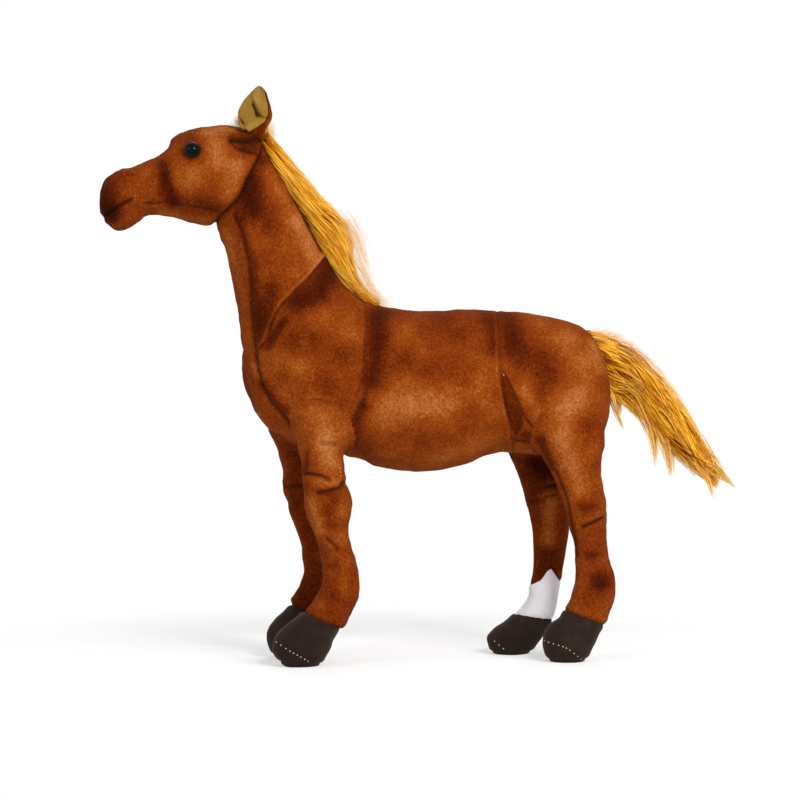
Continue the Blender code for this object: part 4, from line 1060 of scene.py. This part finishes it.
def closed_piece(name, faces, layers):
    """A skin cut from the surface, closed inside with its edges turned in."""
    part = bmesh.new()
    part_shade, part_tone = (part.verts.layers.float.new(key) for key in POINT_VALUES)
    copies, normals, sources = {}, {}, {}
    for vertex in (vertex for face in faces for vertex in face.verts):
        if vertex not in copies:
            copy = copies[vertex] = part.verts.new(vertex.co)
            copy[part_shade], copy[part_tone] = (vertex[layer] for layer in layers)
            normals[copy] = vertex.normal.copy()
    for face in faces:
        part.faces.new([copies[v] for v in face.verts]).smooth = True
    turned = bmesh.ops.extrude_edge_only(part, edges=[e for e in part.edges if e.is_boundary])["geom"]
    for vertex in {g for g in turned if isinstance(g, bmesh.types.BMVert)}:
        origins = [other for other in (e.other_vert(vertex) for e in vertex.link_edges) if other in normals]
        if origins:
            origin = sources[vertex] = origins[-1]
            vertex.co = origin.co - normals[origin] * LIP_DEPTH
            # The turned-in lip is painted in full shade
            vertex[part_shade], vertex[part_tone] = 1.0, origin[part_tone]
    bmesh.ops.holes_fill(part, edges=[e for e in part.edges if e.is_boundary], sides=0)
    bmesh.ops.triangulate(part, faces=[f for f in part.faces if len(f.verts) > 4])
    bmesh.ops.recalc_face_normals(part, faces=part.faces)
    directions = [normals[sources.get(vertex, vertex)] for vertex in part.verts]
    mesh = mesh_of(part, name)
    mesh.normals_split_custom_set_from_vertices(directions)
    return mesh


def body_pieces(mesh, distances, shade, tones):
    """The surface cut into its skins."""
    work = bmesh.new()
    work.from_mesh(mesh)
    work.verts.index_update()
    layers = [work.verts.layers.float.new(key) for key in POINT_VALUES]
    work.verts.ensure_lookup_table()
    for vertex, *values in zip(work.verts, shade, tones):
        for layer, value in zip(layers, values):
            vertex[layer] = value
    border, names = cut_between_labels(work, distances, distances.argmin(axis=0))
    work.normal_update()
    pieces = {}
    for own, faces in face_groups(work, border, names).items():
        name = SURFACE_NODES[own]
        pieces[name] = closed_piece(name, faces, layers)
    work.free()
    return pieces


def add_object(name, mesh, material):
    item = bpy.data.objects.new(name, mesh)
    bpy.context.scene.collection.objects.link(item)
    item.data.materials.clear()
    item.data.materials.append(material)
    return item


def srgb(*channels):
    """A screen colour from 0 to 255 as a linear colour."""
    return tuple(((c / 255 + 0.055) / 1.055) ** 2.4 if c > 10 else c / 255 / 12.92 for c in channels)


class Tree:
    """Short calls to build a tree of nodes."""

    def __init__(self, tree):
        self.tree = tree

    def new(self, kind, inputs=(), **settings):
        node = self.tree.nodes.new(kind)
        for key, value in settings.items():
            setattr(node, key, value)
        for key, value in dict(inputs).items():
            self.link(value, node.inputs[key])
        return node

    def link(self, source, target):
        """Joins two sockets, or gives one a number or a screen colour."""
        if isinstance(source, (int, float)):
            target.default_value = source
        elif isinstance(source, tuple):
            target.default_value = (*srgb(*source), 1.0)
        else:
            self.tree.links.new(source, target)

    def math(self, operation, *values):
        return self.new("ShaderNodeMath", enumerate(values), operation=operation).outputs[0]

    def camera_sees(self):
        """1 for rays of the camera, of gloss and of glass."""
        path = self.new("ShaderNodeLightPath").outputs
        either = self.math("MAXIMUM", path["Is Camera Ray"], path["Is Glossy Ray"])
        return self.math("MAXIMUM", either, path["Is Transmission Ray"])

    def mix_shaders(self, share, first, second, target):
        shaders = (share, first.outputs[0], second.outputs[0])
        self.link(self.new("ShaderNodeMixShader", enumerate(shaders)).outputs[0], target)


class Nodes(Tree):
    """A material and its tree of nodes."""

    def __init__(self, name):
        self.material = bpy.data.materials.new(name)
        self.material.use_nodes = True
        super().__init__(self.material.node_tree)
        self.shader = self.tree.nodes["Principled BSDF"]
        self.place = self.new("ShaderNodeTexCoord").outputs["Object"]

    def noise(self, scale, detail, roughness, distortion):
        inputs = {"Vector": self.place, "Scale": scale, "Detail": detail}
        inputs.update({"Roughness": roughness, "Distortion": distortion})
        return self.new("ShaderNodeTexNoise", inputs).outputs["Fac"]

    def attribute(self, name):
        return self.new("ShaderNodeAttribute", attribute_name=name).outputs["Fac"]

    def ramp(self, factor, stops):
        node = self.new("ShaderNodeValToRGB", {"Fac": factor})
        elements = node.color_ramp.elements
        while len(elements) < len(stops):
            elements.new(0.5)
        for element, (place, colour) in zip(elements, stops):
            element.position = place
            element.color = (*srgb(*colour), 1.0)
        return node.outputs["Color"]

    def mix(self, factor, first, second):
        inputs = {"Factor": factor, "A": first, "B": second}
        return self.new("ShaderNodeMix", inputs, data_type="RGBA").outputs["Result"]

    def bump(self, height, strength, distance):
        node = self.new("ShaderNodeBump", {"Strength": strength, "Distance": distance, "Height": height})
        self.link(node.outputs["Normal"], self.shader.inputs["Normal"])

    def finish(self, colour, roughness, sheen=0.0, sheen_tint=WHITE, specular=PLAIN_SPECULAR):
        inputs = {"Base Color": colour, "Roughness": roughness, "Specular IOR Level": specular}
        inputs.update({"Sheen Weight": sheen, "Sheen Tint": sheen_tint, "Sheen Roughness": SHEEN_ROUGHNESS})
        for key, value in inputs.items():
            self.link(value, self.shader.inputs[key])
        return self.material


def make_material(name):
    look = LOOKS[name]
    n = Nodes(name)
    level, height = look.get("base", 0.0), 0.0
    if "tone" in look:
        level = n.math("MULTIPLY_ADD", n.attribute("tone"), look["tone"], level)
    for scale, detail, roughness, distortion, share, rise in look["noise"]:
        layer = n.noise(scale, detail, roughness, distortion)
        level = n.math("MULTIPLY_ADD", layer, share, level)
        height = n.math("MULTIPLY_ADD", layer, rise, height)
    colour = n.ramp(level, look["stops"])
    if "over" in look:
        key, share, cover = look["over"]
        colour = n.mix(n.math("MULTIPLY", n.attribute(key), share), colour, cover)
    if "bump" in look:
        n.bump(height, *look["bump"])
    gloss = look["roughness"]
    if "uneven" in look:
        gloss = n.math("MULTIPLY_ADD", layer, look["uneven"], gloss)
    return n.finish(colour, gloss, **look.get("finish", {}))


def dress_kept(material, *nodes):
    """Gives solids that stay as they are their material."""
    for name in nodes:
        for place in frame["nodes"][name].material_slots:
            place.material = material


def unit(vectors):
    return vectors / np.maximum(np.linalg.norm(vectors, axis=2, keepdims=True), TINY)


def strand_arrays(guides, radii, tone, pale):
    """Points, faces and values of closed strands that taper along their guides."""
    count, steps, _ = guides.shape
    along = unit(np.gradient(guides, axis=1))
    side = unit(np.cross(along, np.array(STRAND_SIDE)))
    other = np.cross(along, side)
    share = np.linspace(0.0, 1.0, steps)
    root_share, growth, power, least = STRAND_TAPER
    taper = np.minimum(root_share + growth * share, 1.0) * (1.0 - share ** power) + least
    width = radii[:, None, None] * taper[:, None]
    corner = np.arange(STRAND_SIDES)
    turns = corner * math.tau / STRAND_SIDES
    rings = [guides + width * (math.cos(turn) * side + math.sin(turn) * other) for turn in turns]
    points = np.stack(rings, axis=2).reshape(-1, 3)
    after = (corner + 1) % STRAND_SIDES
    first = np.arange(count)[:, None] * steps * STRAND_SIDES
    low = first[:, None] + np.arange(steps - 1)[:, None] * STRAND_SIDES
    high = low + STRAND_SIDES
    quads = np.stack([low + corner, low + after, high + after, high + corner], axis=-1).reshape(-1, 4)
    caps = np.vstack([first + corner[::-1], first + (steps - 1) * STRAND_SIDES + corner])
    tones, pales = (np.repeat(values.reshape(-1), STRAND_SIDES) for values in (tone, pale))
    return points, quads, caps, tones, pales


def pile_mesh(name, bundles):
    """One mesh from several bundles of points, quads, triangles and values."""
    points, quads, triangles, tones, pales = zip(*bundles)
    faces, shift = [], 0
    for own, sides, ends in zip(points, quads, triangles):
        faces += (sides + shift).tolist() + (ends + shift).tolist()
        shift += len(own)
    mesh = bpy.data.meshes.new(name)
    mesh.from_pydata(np.vstack(points).tolist(), [], faces)
    add_values(mesh, "tone", np.concatenate(tones))
    add_values(mesh, "pale", np.concatenate(pales))
    mesh.shade_smooth()
    mesh.update()
    return mesh


def clump_owners(starts, turns, picks):
    """For each strand the clump whose own strand starts nearest."""
    keys = np.stack([starts * CLUMP_ALONG, np.cos(turns), np.sin(turns)], axis=1)
    owner = np.empty(len(starts), int)
    for block in range(0, len(starts), CLUMP_BLOCK):
        apart = keys[block:block + CLUMP_BLOCK, None, :] - keys[picks][None, :, :]
        owner[block:block + CLUMP_BLOCK] = (apart ** 2).sum(axis=2).argmin(axis=1)
    return owner


class Pile:
    """Long pile round a core. u runs along it, turn goes round it from its upper edge."""

    def __init__(self, upper, lower, half_widths, seed):
        self.upper, self.lower, self.half_widths = upper, lower, half_widths
        self.random = np.random.default_rng(seed)

    def place(self, u, turn, reach):
        upper, lower = smooth_curve(self.upper, u), smooth_curve(self.lower, u)
        half_width = smooth_curve([(width,) for width in self.half_widths], u)[..., 0]
        down = 0.5 - 0.5 * reach * np.cos(turn)
        return at_pixel(upper + (lower - upper) * down[..., None], -reach * np.sin(turn) * half_width)

    def core(self, share, start, end):
        """A closed body that the strands cover."""
        side = np.arange(CORE_SIDES)
        after = (side + 1) % CORE_SIDES
        u = np.linspace(start, end, CORE_RINGS)[:, None] * np.ones((1, CORE_SIDES))
        turn = np.ones((CORE_RINGS, 1)) * (side * math.tau / CORE_SIDES)[None, :]
        close = np.sin(np.linspace(CORE_END, math.pi - CORE_END, CORE_RINGS)) ** CORE_ROUNDING
        points = self.place(u, turn, share * close[:, None] * np.ones_like(turn)).reshape(-1, 3)
        low = np.arange(CORE_RINGS - 1)[:, None] * CORE_SIDES
        high = low + CORE_SIDES
        quads = np.stack([low + side, low + after, high + after, high + side], axis=-1).reshape(-1, 4)
        ends = np.array([points[:CORE_SIDES].mean(axis=0), points[-CORE_SIDES:].mean(axis=0)])
        middle, far = np.full(CORE_SIDES, len(points)), np.full(CORE_SIDES, len(points) + 1)
        last = (CORE_RINGS - 1) * CORE_SIDES
        caps = np.vstack([np.stack((middle, after, side), axis=1),
                          np.stack((far, last + side, last + after), axis=1)])
        tone = np.full(len(points) + len(ends), CORE_TONE)
        return np.vstack([points, ends]), quads, caps, tone, np.zeros_like(tone)

    def strands(self, starts, turns, reaches, length, drift, lift, clumps, pull, wave, radius,
                pale_root, pale_tip):
        """Strands from starts and turns, gathered into clumps whose tips come together."""
        random = self.random
        count = len(starts)
        picks = random.choice(count, clumps, replace=False)
        owner = clump_owners(starts, turns, picks)
        share = np.linspace(0.0, 1.0, STRAND_STEPS)[None, :]
        lengths = length * random.uniform(*LENGTHS, count)
        drifts = drift * random.uniform(*DRIFTS, count)
        ends = np.minimum(starts + lengths, 1.0 - FRAY * random.random(count) ** 2)
        u = starts[:, None] + (ends - starts)[:, None] * share
        turn = turns[:, None] + (np.sign(np.sin(turns)) * drifts)[:, None] * share ** DRIFT_POWER
        reach = reaches[:, None] + (lift * random.uniform(*LIFTS, count))[:, None] * share
        own = self.place(u, turn, reach)
        gather = pull * share[..., None] ** PULL_POWER * random.uniform(*PULLS, count)[:, None, None]
        guides = own + (own[picks][owner] - own) * gather
        phase = random.uniform(0.0, math.tau, clumps)[owner][:, None]
        phase = phase + random.normal(0.0, WAVE_SCATTER, (count, 1))
        bend = wave * share * np.sin(phase + share * WAVE_DOWN)
        sway = wave * share * np.cos(phase * WAVE_SIDE_PHASE + share * WAVE_SIDE)
        guides = guides + np.stack([bend * WAVE_ALONG, sway, bend], axis=-1)
        middle, scatter, at_tip, at_root, at_upper = STRAND_TONES
        own_tone = random.normal(0.0, scatter, count) + random.normal(0.0, scatter, clumps)[owner]
        upper = np.clip(np.cos(turn) * 2.0 - 1.0, 0.0, 1.0)
        tone = middle + own_tone[:, None] + at_tip * share + at_root * (1.0 - share) ** 2 + at_upper * upper
        pale = pale_root + (pale_tip - pale_root) * share ** 2 + UPPER_PALE * upper * share
        radii = radius * random.uniform(*THICKNESSES, count)
        return strand_arrays(guides, radii, tone, np.clip(pale, 0.0, 1.0))

    def fringe(self, count, starts, reaches, **look):
        """Loose strands at the upper edge."""
        random = self.random
        begin = random.uniform(*starts, count)
        turns = random.normal(0.0, FRINGE_TURN, count)
        return self.strands(begin, turns, random.uniform(*reaches, count), **look)


def lock_strands(locks, count, spread_tip, radius, pale_root, pale_tip, seed):
    """Strands that leave a tuft's root apart and come together at its tip."""
    random = np.random.default_rng(seed)
    share = np.linspace(0.0, 1.0, STRAND_STEPS)
    middle, scatter, at_tip = LOCK_TONES
    bundles = []
    for line, spread, sideways in locks:
        offsets = random.normal(0.0, spread, (count, 1, 2))
        fan = (1.0 - share ** LOCK_POWER)[None, :, None] + spread_tip / spread
        centre = smooth_curve(line, random.uniform(*LOCK_LENGTHS, count)[:, None] * share[None, :])
        pixels = centre + offsets * fan * LOCK_SPREAD
        side = sideways + random.normal(0.0, spread * PIXEL * LOCK_SIDE, (count, 1)) * fan[..., 0]
        tone = middle + random.normal(0.0, scatter, count)[:, None] + at_tip * share[None, :]
        pale = pale_root + (pale_tip - pale_root) * share ** LOCK_PALE_POWER + np.zeros((count, 1))
        radii = radius * random.uniform(*THICKNESSES, count)
        bundles.append(strand_arrays(at_pixel(pixels, side), radii, tone, pale))
    return bundles


def make_tail(gold):
    pile = Pile(TAIL_UPPER, TAIL_LOWER, TAIL_HALF_WIDTHS, seed=11)
    random = pile.random
    at_root = TAIL_STRANDS // 3
    starts = [random.uniform(*TAIL_ROOT_STARTS, at_root),
              random.uniform(*TAIL_STARTS, TAIL_STRANDS - at_root)]
    turns = random.uniform(-math.pi, math.pi, TAIL_STRANDS)
    reaches = random.uniform(*TAIL_REACHES, TAIL_STRANDS)
    bundles = [pile.core(*TAIL_CORE), pile.strands(np.concatenate(starts), turns, reaches, **TAIL_BODY)]
    bundles.append(pile.fringe(**TAIL_FRINGE))
    bundles += lock_strands(TAIL_LOCKS, LOCK_STRANDS, spread_tip=1.6, radius=STRAND_RADIUS * 0.75,
                            pale_root=0.05, pale_tip=0.5, seed=12)
    bundles += lock_strands(TAIL_ROOT_LOCKS, LOCK_STRANDS * 2, spread_tip=1.5, radius=STRAND_RADIUS,
                            pale_root=0.15, pale_tip=0.15, seed=13)
    item = add_object("tail_pile", pile_mesh("tail_pile", bundles), gold)
    dress(item, "tail", "pile_gold", "tail")


def make_mane(gold):
    pile = Pile(MANE_OUTER, MANE_CREST, MANE_HALF_WIDTHS, seed=21)
    random = pile.random
    starts = random.uniform(*MANE_STARTS, MANE_STRANDS)
    turns = random.choice([-1.0, 1.0], MANE_STRANDS) * random.uniform(*MANE_TURNS, MANE_STRANDS)
    reaches = random.uniform(*MANE_REACHES, MANE_STRANDS)
    bundles = [pile.core(*MANE_CORE), pile.strands(starts, turns, reaches, **MANE_BODY)]
    bundles.append(pile.fringe(**MANE_FRINGE))
    bundles += lock_strands(MANE_WISPS, LOCK_STRANDS, spread_tip=5.0, radius=FRINGE_RADIUS,
                            pale_root=0.1, pale_tip=0.5, seed=23)
    item = add_object("mane_pile", pile_mesh("mane_pile", bundles), gold)
    dress(item, "horse", "pile_gold", "mane")
    tufts = lock_strands(FORELOCK_TUFTS, LOCK_STRANDS, spread_tip=3.0, radius=FRINGE_RADIUS,
                         pale_root=0.4, pale_tip=0.9, seed=22)
    item = add_object("forelock_pile", pile_mesh("forelock_pile", tufts), gold)
    dress(item, "horse", "pile_gold", "forelock")


def make_eye(side, material):
    _, top, out = eye_axis(side)
    ball = (EYE_RADIUS ** 2 + EYE_DOME ** 2) / (2 * EYE_DOME)
    radii = [EYE_RADIUS * EYE_RIM_SHARE * math.sin(math.pi / 2 * step / EYE_STEPS)
             for step in range(EYE_STEPS + 1)]
    profile = [(radius, math.sqrt(ball ** 2 - radius ** 2) - ball + EYE_DOME) for radius in radii]
    low = profile[-1][1]
    profile += [(EYE_RADIUS * share, low - depth) for share, depth in EYE_GROOVE]
    profile += [(EYE_RADIUS * share, -EYE_BACK * depth) for share, depth in EYE_BACK_PROFILE]
    work = bmesh.new()
    corners = [work.verts.new((radius, 0.0, height)) for radius, height in profile]
    edges = [work.edges.new(pair) for pair in zip(corners, corners[1:])]
    bmesh.ops.spin(work, geom=corners + edges, cent=(0, 0, 0), axis=(0, 0, 1), angle=math.tau,
                   steps=EYE_SPIN_STEPS)
    bmesh.ops.remove_doubles(work, verts=work.verts, dist=WELD)
    bmesh.ops.recalc_face_normals(work, faces=work.faces)
    work.transform(placed(top - out * EYE_DOME, out))
    mesh = mesh_of(work, "eye_dome_" + side)
    away = mesh_points(mesh) - np.array(top)
    across = np.linalg.norm(away - (away @ np.array(out))[:, None] * np.array(out), axis=1) / EYE_RADIUS
    add_values(mesh, "rim", np.clip((across - EYE_RIM_START) / EYE_RIM_SOFT, 0.0, 1.0))
    mesh.shade_smooth()
    item = add_object("eye_dome_" + side, mesh, material)
    dress(item, "horse", "eye_black", "eye_" + side)


def ear_axes():
    """Root and facing direction of the left ear, from its joint and its lining."""
    joint = next(j for j in frame["joints"] if j["name"] == "ear_left_bend")
    root = np.array(joint["pos_m"], float)
    axis = np.array(joint["axis"], float)
    low, high = (np.array(corner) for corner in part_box("ear_lining_left"))
    rib = (low + high) / 2 - root
    facing = np.cross(axis, rib)
    facing /= np.linalg.norm(facing)
    return root, facing if facing[1] < 0 else -facing


def ear_grid(front, back, root, facing):
    """Points of a flat leaf whose edges appear at the pixels of front and back."""
    rows = np.linspace(0.0, 1.0, EAR_ROWS + 1)[:, None] * np.ones((1, EAR_COLUMNS + 1))
    columns = np.ones((EAR_ROWS + 1, 1)) * np.linspace(0.0, 1.0, EAR_COLUMNS + 1)[None, :]
    first, last = smooth_curve(front, rows), smooth_curve(back, rows)
    pixels = first + (last - first) * columns[..., None]
    near = at_pixel(pixels, root[1])
    eye = np.array(CAMERA_TARGET + camera_axes()[2] * CAMERA_DISTANCE)
    rays = near - eye
    share = ((root - eye) @ facing) / (rays @ facing)
    return eye + rays * share[..., None], pixels, rows, columns


def ear_cup(rows, columns):
    return -EAR_CUP * (1.0 - (2.0 * columns - 1.0) ** 2) * (1.0 - EAR_TIP_FLATTER * rows)


def fold_values(pixels):
    """Height, shade and tone that the folds give to a grid of pixels."""
    height, shade, tone = (np.zeros(pixels.shape[:2]) for _ in range(3))
    for outline, lift, painted_shade, light in EAR_FOLDS:
        share = inside_share(pixels.reshape(-1, 2), outline, EAR_EDGE).reshape(pixels.shape[:2])
        height += share * lift
        shade = np.where(painted_shade > 0.0, np.maximum(shade, share * painted_shade), shade * (1.0 - share))
        tone += share * light
    return height, shade, tone


def leaf_mesh(name, points, thickness, facing, shade, tone, mirrored):
    """A closed leaf: the grid in front and the same grid behind it."""
    rows, columns = points.shape[:2]
    across, up = np.gradient(points, axis=1), np.gradient(points, axis=0)
    normals = unit(np.cross(up, across))
    normals[(normals @ facing) < 0] *= -1
    back = points - (normals + facing) * 0.5 * thickness
    both = np.vstack([points.reshape(-1, 3), back.reshape(-1, 3)])
    grid = np.arange(rows * columns).reshape(rows, columns)
    corners = (grid[:-1, :-1], grid[:-1, 1:], grid[1:, 1:], grid[1:, :-1])
    front = np.stack(corners, axis=-1).reshape(-1, 4)
    rim = np.concatenate([grid[0], grid[1:, -1], grid[-1, -2::-1], grid[-2:0:-1, 0]])
    after, half = np.roll(rim, -1), grid.size
    sides = np.stack([after, rim, half + rim, half + after], axis=-1)
    mesh = bpy.data.meshes.new(name)
    faces = np.vstack([front, half + front[:, [0, 3, 2, 1]], sides])
    mesh.from_pydata((both * MIRROR if mirrored else both).tolist(), [], faces.tolist())
    work = bmesh.new()
    work.from_mesh(mesh)
    bmesh.ops.recalc_face_normals(work, faces=work.faces)
    work.to_mesh(mesh)
    work.free()
    for key, values in zip(POINT_VALUES, (shade, tone)):
        add_values(mesh, key, np.tile(values.ravel(), 2))
    mesh.shade_smooth()
    return mesh


def make_ears(plush, olive):
    root, facing = ear_axes()
    points, pixels, rows, columns = ear_grid(EAR_LINING_FRONT, EAR_LINING_BACK, root, facing)
    height, shade, tone = fold_values(pixels)
    points = points + (ear_cup(rows, columns) + height)[..., None] * facing
    outer, _, rows, columns = ear_grid(EAR_OUTER_FRONT, EAR_OUTER_BACK, root, facing)
    behind = EAR_BEHIND * np.clip((1.0 - columns) / EAR_CLOSE_SHARE, EAR_CLOSE, 1.0)
    outer = outer + (ear_cup(rows, columns) - behind)[..., None] * facing
    # Painted shade at the root of the outer, where it meets the head
    painted_shade = np.clip(EAR_ROOT_SHARE - rows, 0.0, 1.0) * EAR_ROOT_PAINTED_SHADE
    plain = np.zeros_like(painted_shade)
    for side, back in (("left", 0.0), ("right", FAR_EAR_SETBACK)):
        shift = np.array([back, 0.0, 0.0])
        mirrored = side == "right"
        name = "ear_lining_" + side
        mesh = leaf_mesh(name + "_soft", points + shift, EAR_CLOTH, facing, shade, tone, mirrored)
        item = add_object(name + "_soft", mesh, olive)
        dress(item, side + "_ear", "ear_lining_olive", name)
        name = "ear_outer_" + side
        mesh = leaf_mesh(name + "_soft", outer + shift, EAR_PLUSH, facing, painted_shade, plain, mirrored)
        item = add_object(name + "_soft", mesh, plush)
        dress(item, side + "_ear", "plush_chestnut", name)


def make_stitches(name, lines, tree, material, radius=STITCH_RADIUS, spacing=STITCH_SPACING):
    """Short threads on the surface, at even steps along lines of pixels."""
    work = bmesh.new()
    eye = CAMERA_TARGET + camera_axes()[2] * CAMERA_DISTANCE
    for line, side in lines:
        corners = np.array(line, float)
        length = np.linalg.norm(np.diff(corners, axis=0), axis=1).sum()
        steps = max(int(length / spacing), 1)
        shares = (np.arange(steps) + 0.5) / steps
        hits = []
        for share in (shares[:, None] + np.array([-STITCH_SHARE, STITCH_SHARE])).ravel():
            target = Vector(at_pixel(smooth_curve(corners, share), 0.0))
            origin = eye.copy()
            if side > 0:
                target.y, origin.y = -target.y, -origin.y
            hits.append(tree.ray_cast(origin, (target - origin).normalized())[:2])
        for (start, normal), (end, _) in zip(hits[::2], hits[1::2]):
            if start is None or end is None:
                continue
            along = (end - start).normalized()
            turn = Matrix((along, normal.cross(along), normal)).transposed().to_4x4()
            place = Matrix.Translation((start + end) / 2 + normal * radius * STITCH_LIFT) @ turn
            size = Matrix.Diagonal((STITCH_LENGTH / 2, radius, radius, 1.0))
            bmesh.ops.create_uvsphere(work, u_segments=STITCH_SEGMENTS[0], v_segments=STITCH_SEGMENTS[1],
                                      radius=1.0, matrix=place @ size)
    mesh = mesh_of(work, name)
    mesh.shade_smooth()
    item = add_object(name, mesh, material)
    dress(item, "horse", "sock_white")


def make_camera():
    right, up, back = camera_axes()
    data = bpy.data.cameras.new("camera")
    data.sensor_width = SENSOR_MM
    data.lens = SENSOR_MM * CAMERA_DISTANCE / (PIXEL * FRAME_PIXELS)
    data.clip_start = CLIP_START
    camera = bpy.data.objects.new("camera", data)
    turn = Matrix((right, up, back)).transposed().to_4x4()
    camera.matrix_world = Matrix.Translation(CAMERA_TARGET + back * CAMERA_DISTANCE) @ turn
    bpy.context.scene.collection.objects.link(camera)
    bpy.context.scene.camera = camera


def area_light(name, place, size, energy, colour=(1.0, 1.0, 1.0)):
    data = bpy.data.lights.new(name, "AREA")
    data.shape = "DISK"
    data.size = size
    data.energy = energy
    data.color = colour
    lamp = bpy.data.objects.new(name, data)
    aim = Vector(LAMP_AIM) - Vector(place)
    lamp.matrix_world = Matrix.Translation(place) @ aim.to_track_quat("-Z", "Y").to_matrix().to_4x4()
    bpy.context.scene.collection.objects.link(lamp)


def make_floor():
    """A white disk that shows the horse's shadow and further off fades into the background."""
    work = bmesh.new()
    bmesh.ops.create_circle(work, cap_ends=True, segments=FLOOR_SEGMENTS, radius=FLOOR_RADIUS)
    material = bpy.data.materials.new("floor_white")
    material.use_nodes = True
    material.node_tree.nodes.clear()
    tree = Tree(material.node_tree)
    diffuse = tree.new("ShaderNodeBsdfDiffuse")
    diffuse.inputs["Color"].default_value = FLOOR_COLOUR
    place = tree.new("ShaderNodeTexCoord").outputs["Object"]
    length = tree.new("ShaderNodeVectorMath", {0: place}, operation="LENGTH").outputs["Value"]
    fade = tree.new("ShaderNodeMapRange", {"Value": length, **FLOOR_FADE}, interpolation_type="SMOOTHSTEP")
    share = tree.math("MULTIPLY", fade.outputs[0], tree.camera_sees())
    surface = tree.new("ShaderNodeOutputMaterial").inputs["Surface"]
    tree.mix_shaders(share, diffuse, tree.new("ShaderNodeEmission", {"Strength": 1.0}), surface)
    floor = add_object("floor", mesh_of(work, "floor"), material)


def make_studio():
    world = bpy.data.worlds.new("studio")
    bpy.context.scene.world = world
    world.use_nodes = True
    tree = Tree(world.node_tree)
    plain = tree.tree.nodes["Background"]
    tree.link(WHITE, plain.inputs["Color"])
    tree.link(WORLD_STRENGTH, plain.inputs["Strength"])
    seen = tree.new("ShaderNodeBackground", {"Color": WHITE})
    tree.mix_shaders(tree.camera_sees(), plain, seen, tree.tree.nodes["World Output"].inputs["Surface"])
    make_floor()
    for name, lamp in LAMPS.items():
        area_light(name, **lamp)


def dress(item, body, slot, *nodes):
    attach(item, body)
    if nodes:
        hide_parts(*nodes)


def main():
    scene = bpy.context.scene
    scene.view_settings.view_transform = "Standard"
    make_camera()
    make_studio()
    mesh, distances, shade, tones = shaped_body()
    tree = BVHTree.FromPolygons([v.co for v in mesh.vertices], [tuple(p.vertices) for p in mesh.polygons])
    materials = {name: make_material(name) for name in LOOKS}
    for name, piece_mesh in body_pieces(mesh, distances, shade, tones).items():
        if name in HOOVES + SOLES:
            slot = "hoof_felt"
        else:
            slot = "sock_white" if name == "hind_right_sock" else "plush_chestnut"
        piece = add_object("soft_" + name, piece_mesh, materials[slot])
        dress(piece, "horse", slot, name, *FILLED_BY.get(name, ()))
    dress_kept(materials["tape_tan"], "tail_tab", "mane_backing")
    dress_kept(materials["washer_plastic"], "eye_washer_left", "eye_washer_right")
    make_tail(materials["pile_gold"])
    make_mane(materials["pile_gold"])
    make_eye("left", materials["eye_black"])
    make_eye("right", materials["eye_black"])
    make_ears(materials["plush_chestnut"], materials["ear_lining_olive"])
    pale, tan = materials["thread_pale"], materials["thread_tan"]
    make_stitches("sole_stitches", SOLE_STITCHES, tree, pale)
    make_stitches("forehead_stitches", FOREHEAD_STITCHES, tree, tan, FINE_STITCH_RADIUS)
    make_stitches("dart_stitches", DART_STITCHES, tree, pale, FINE_STITCH_RADIUS, DART_SPACING)
    make_stitches("thread_end", THREAD_ENDS, tree, pale)


main()
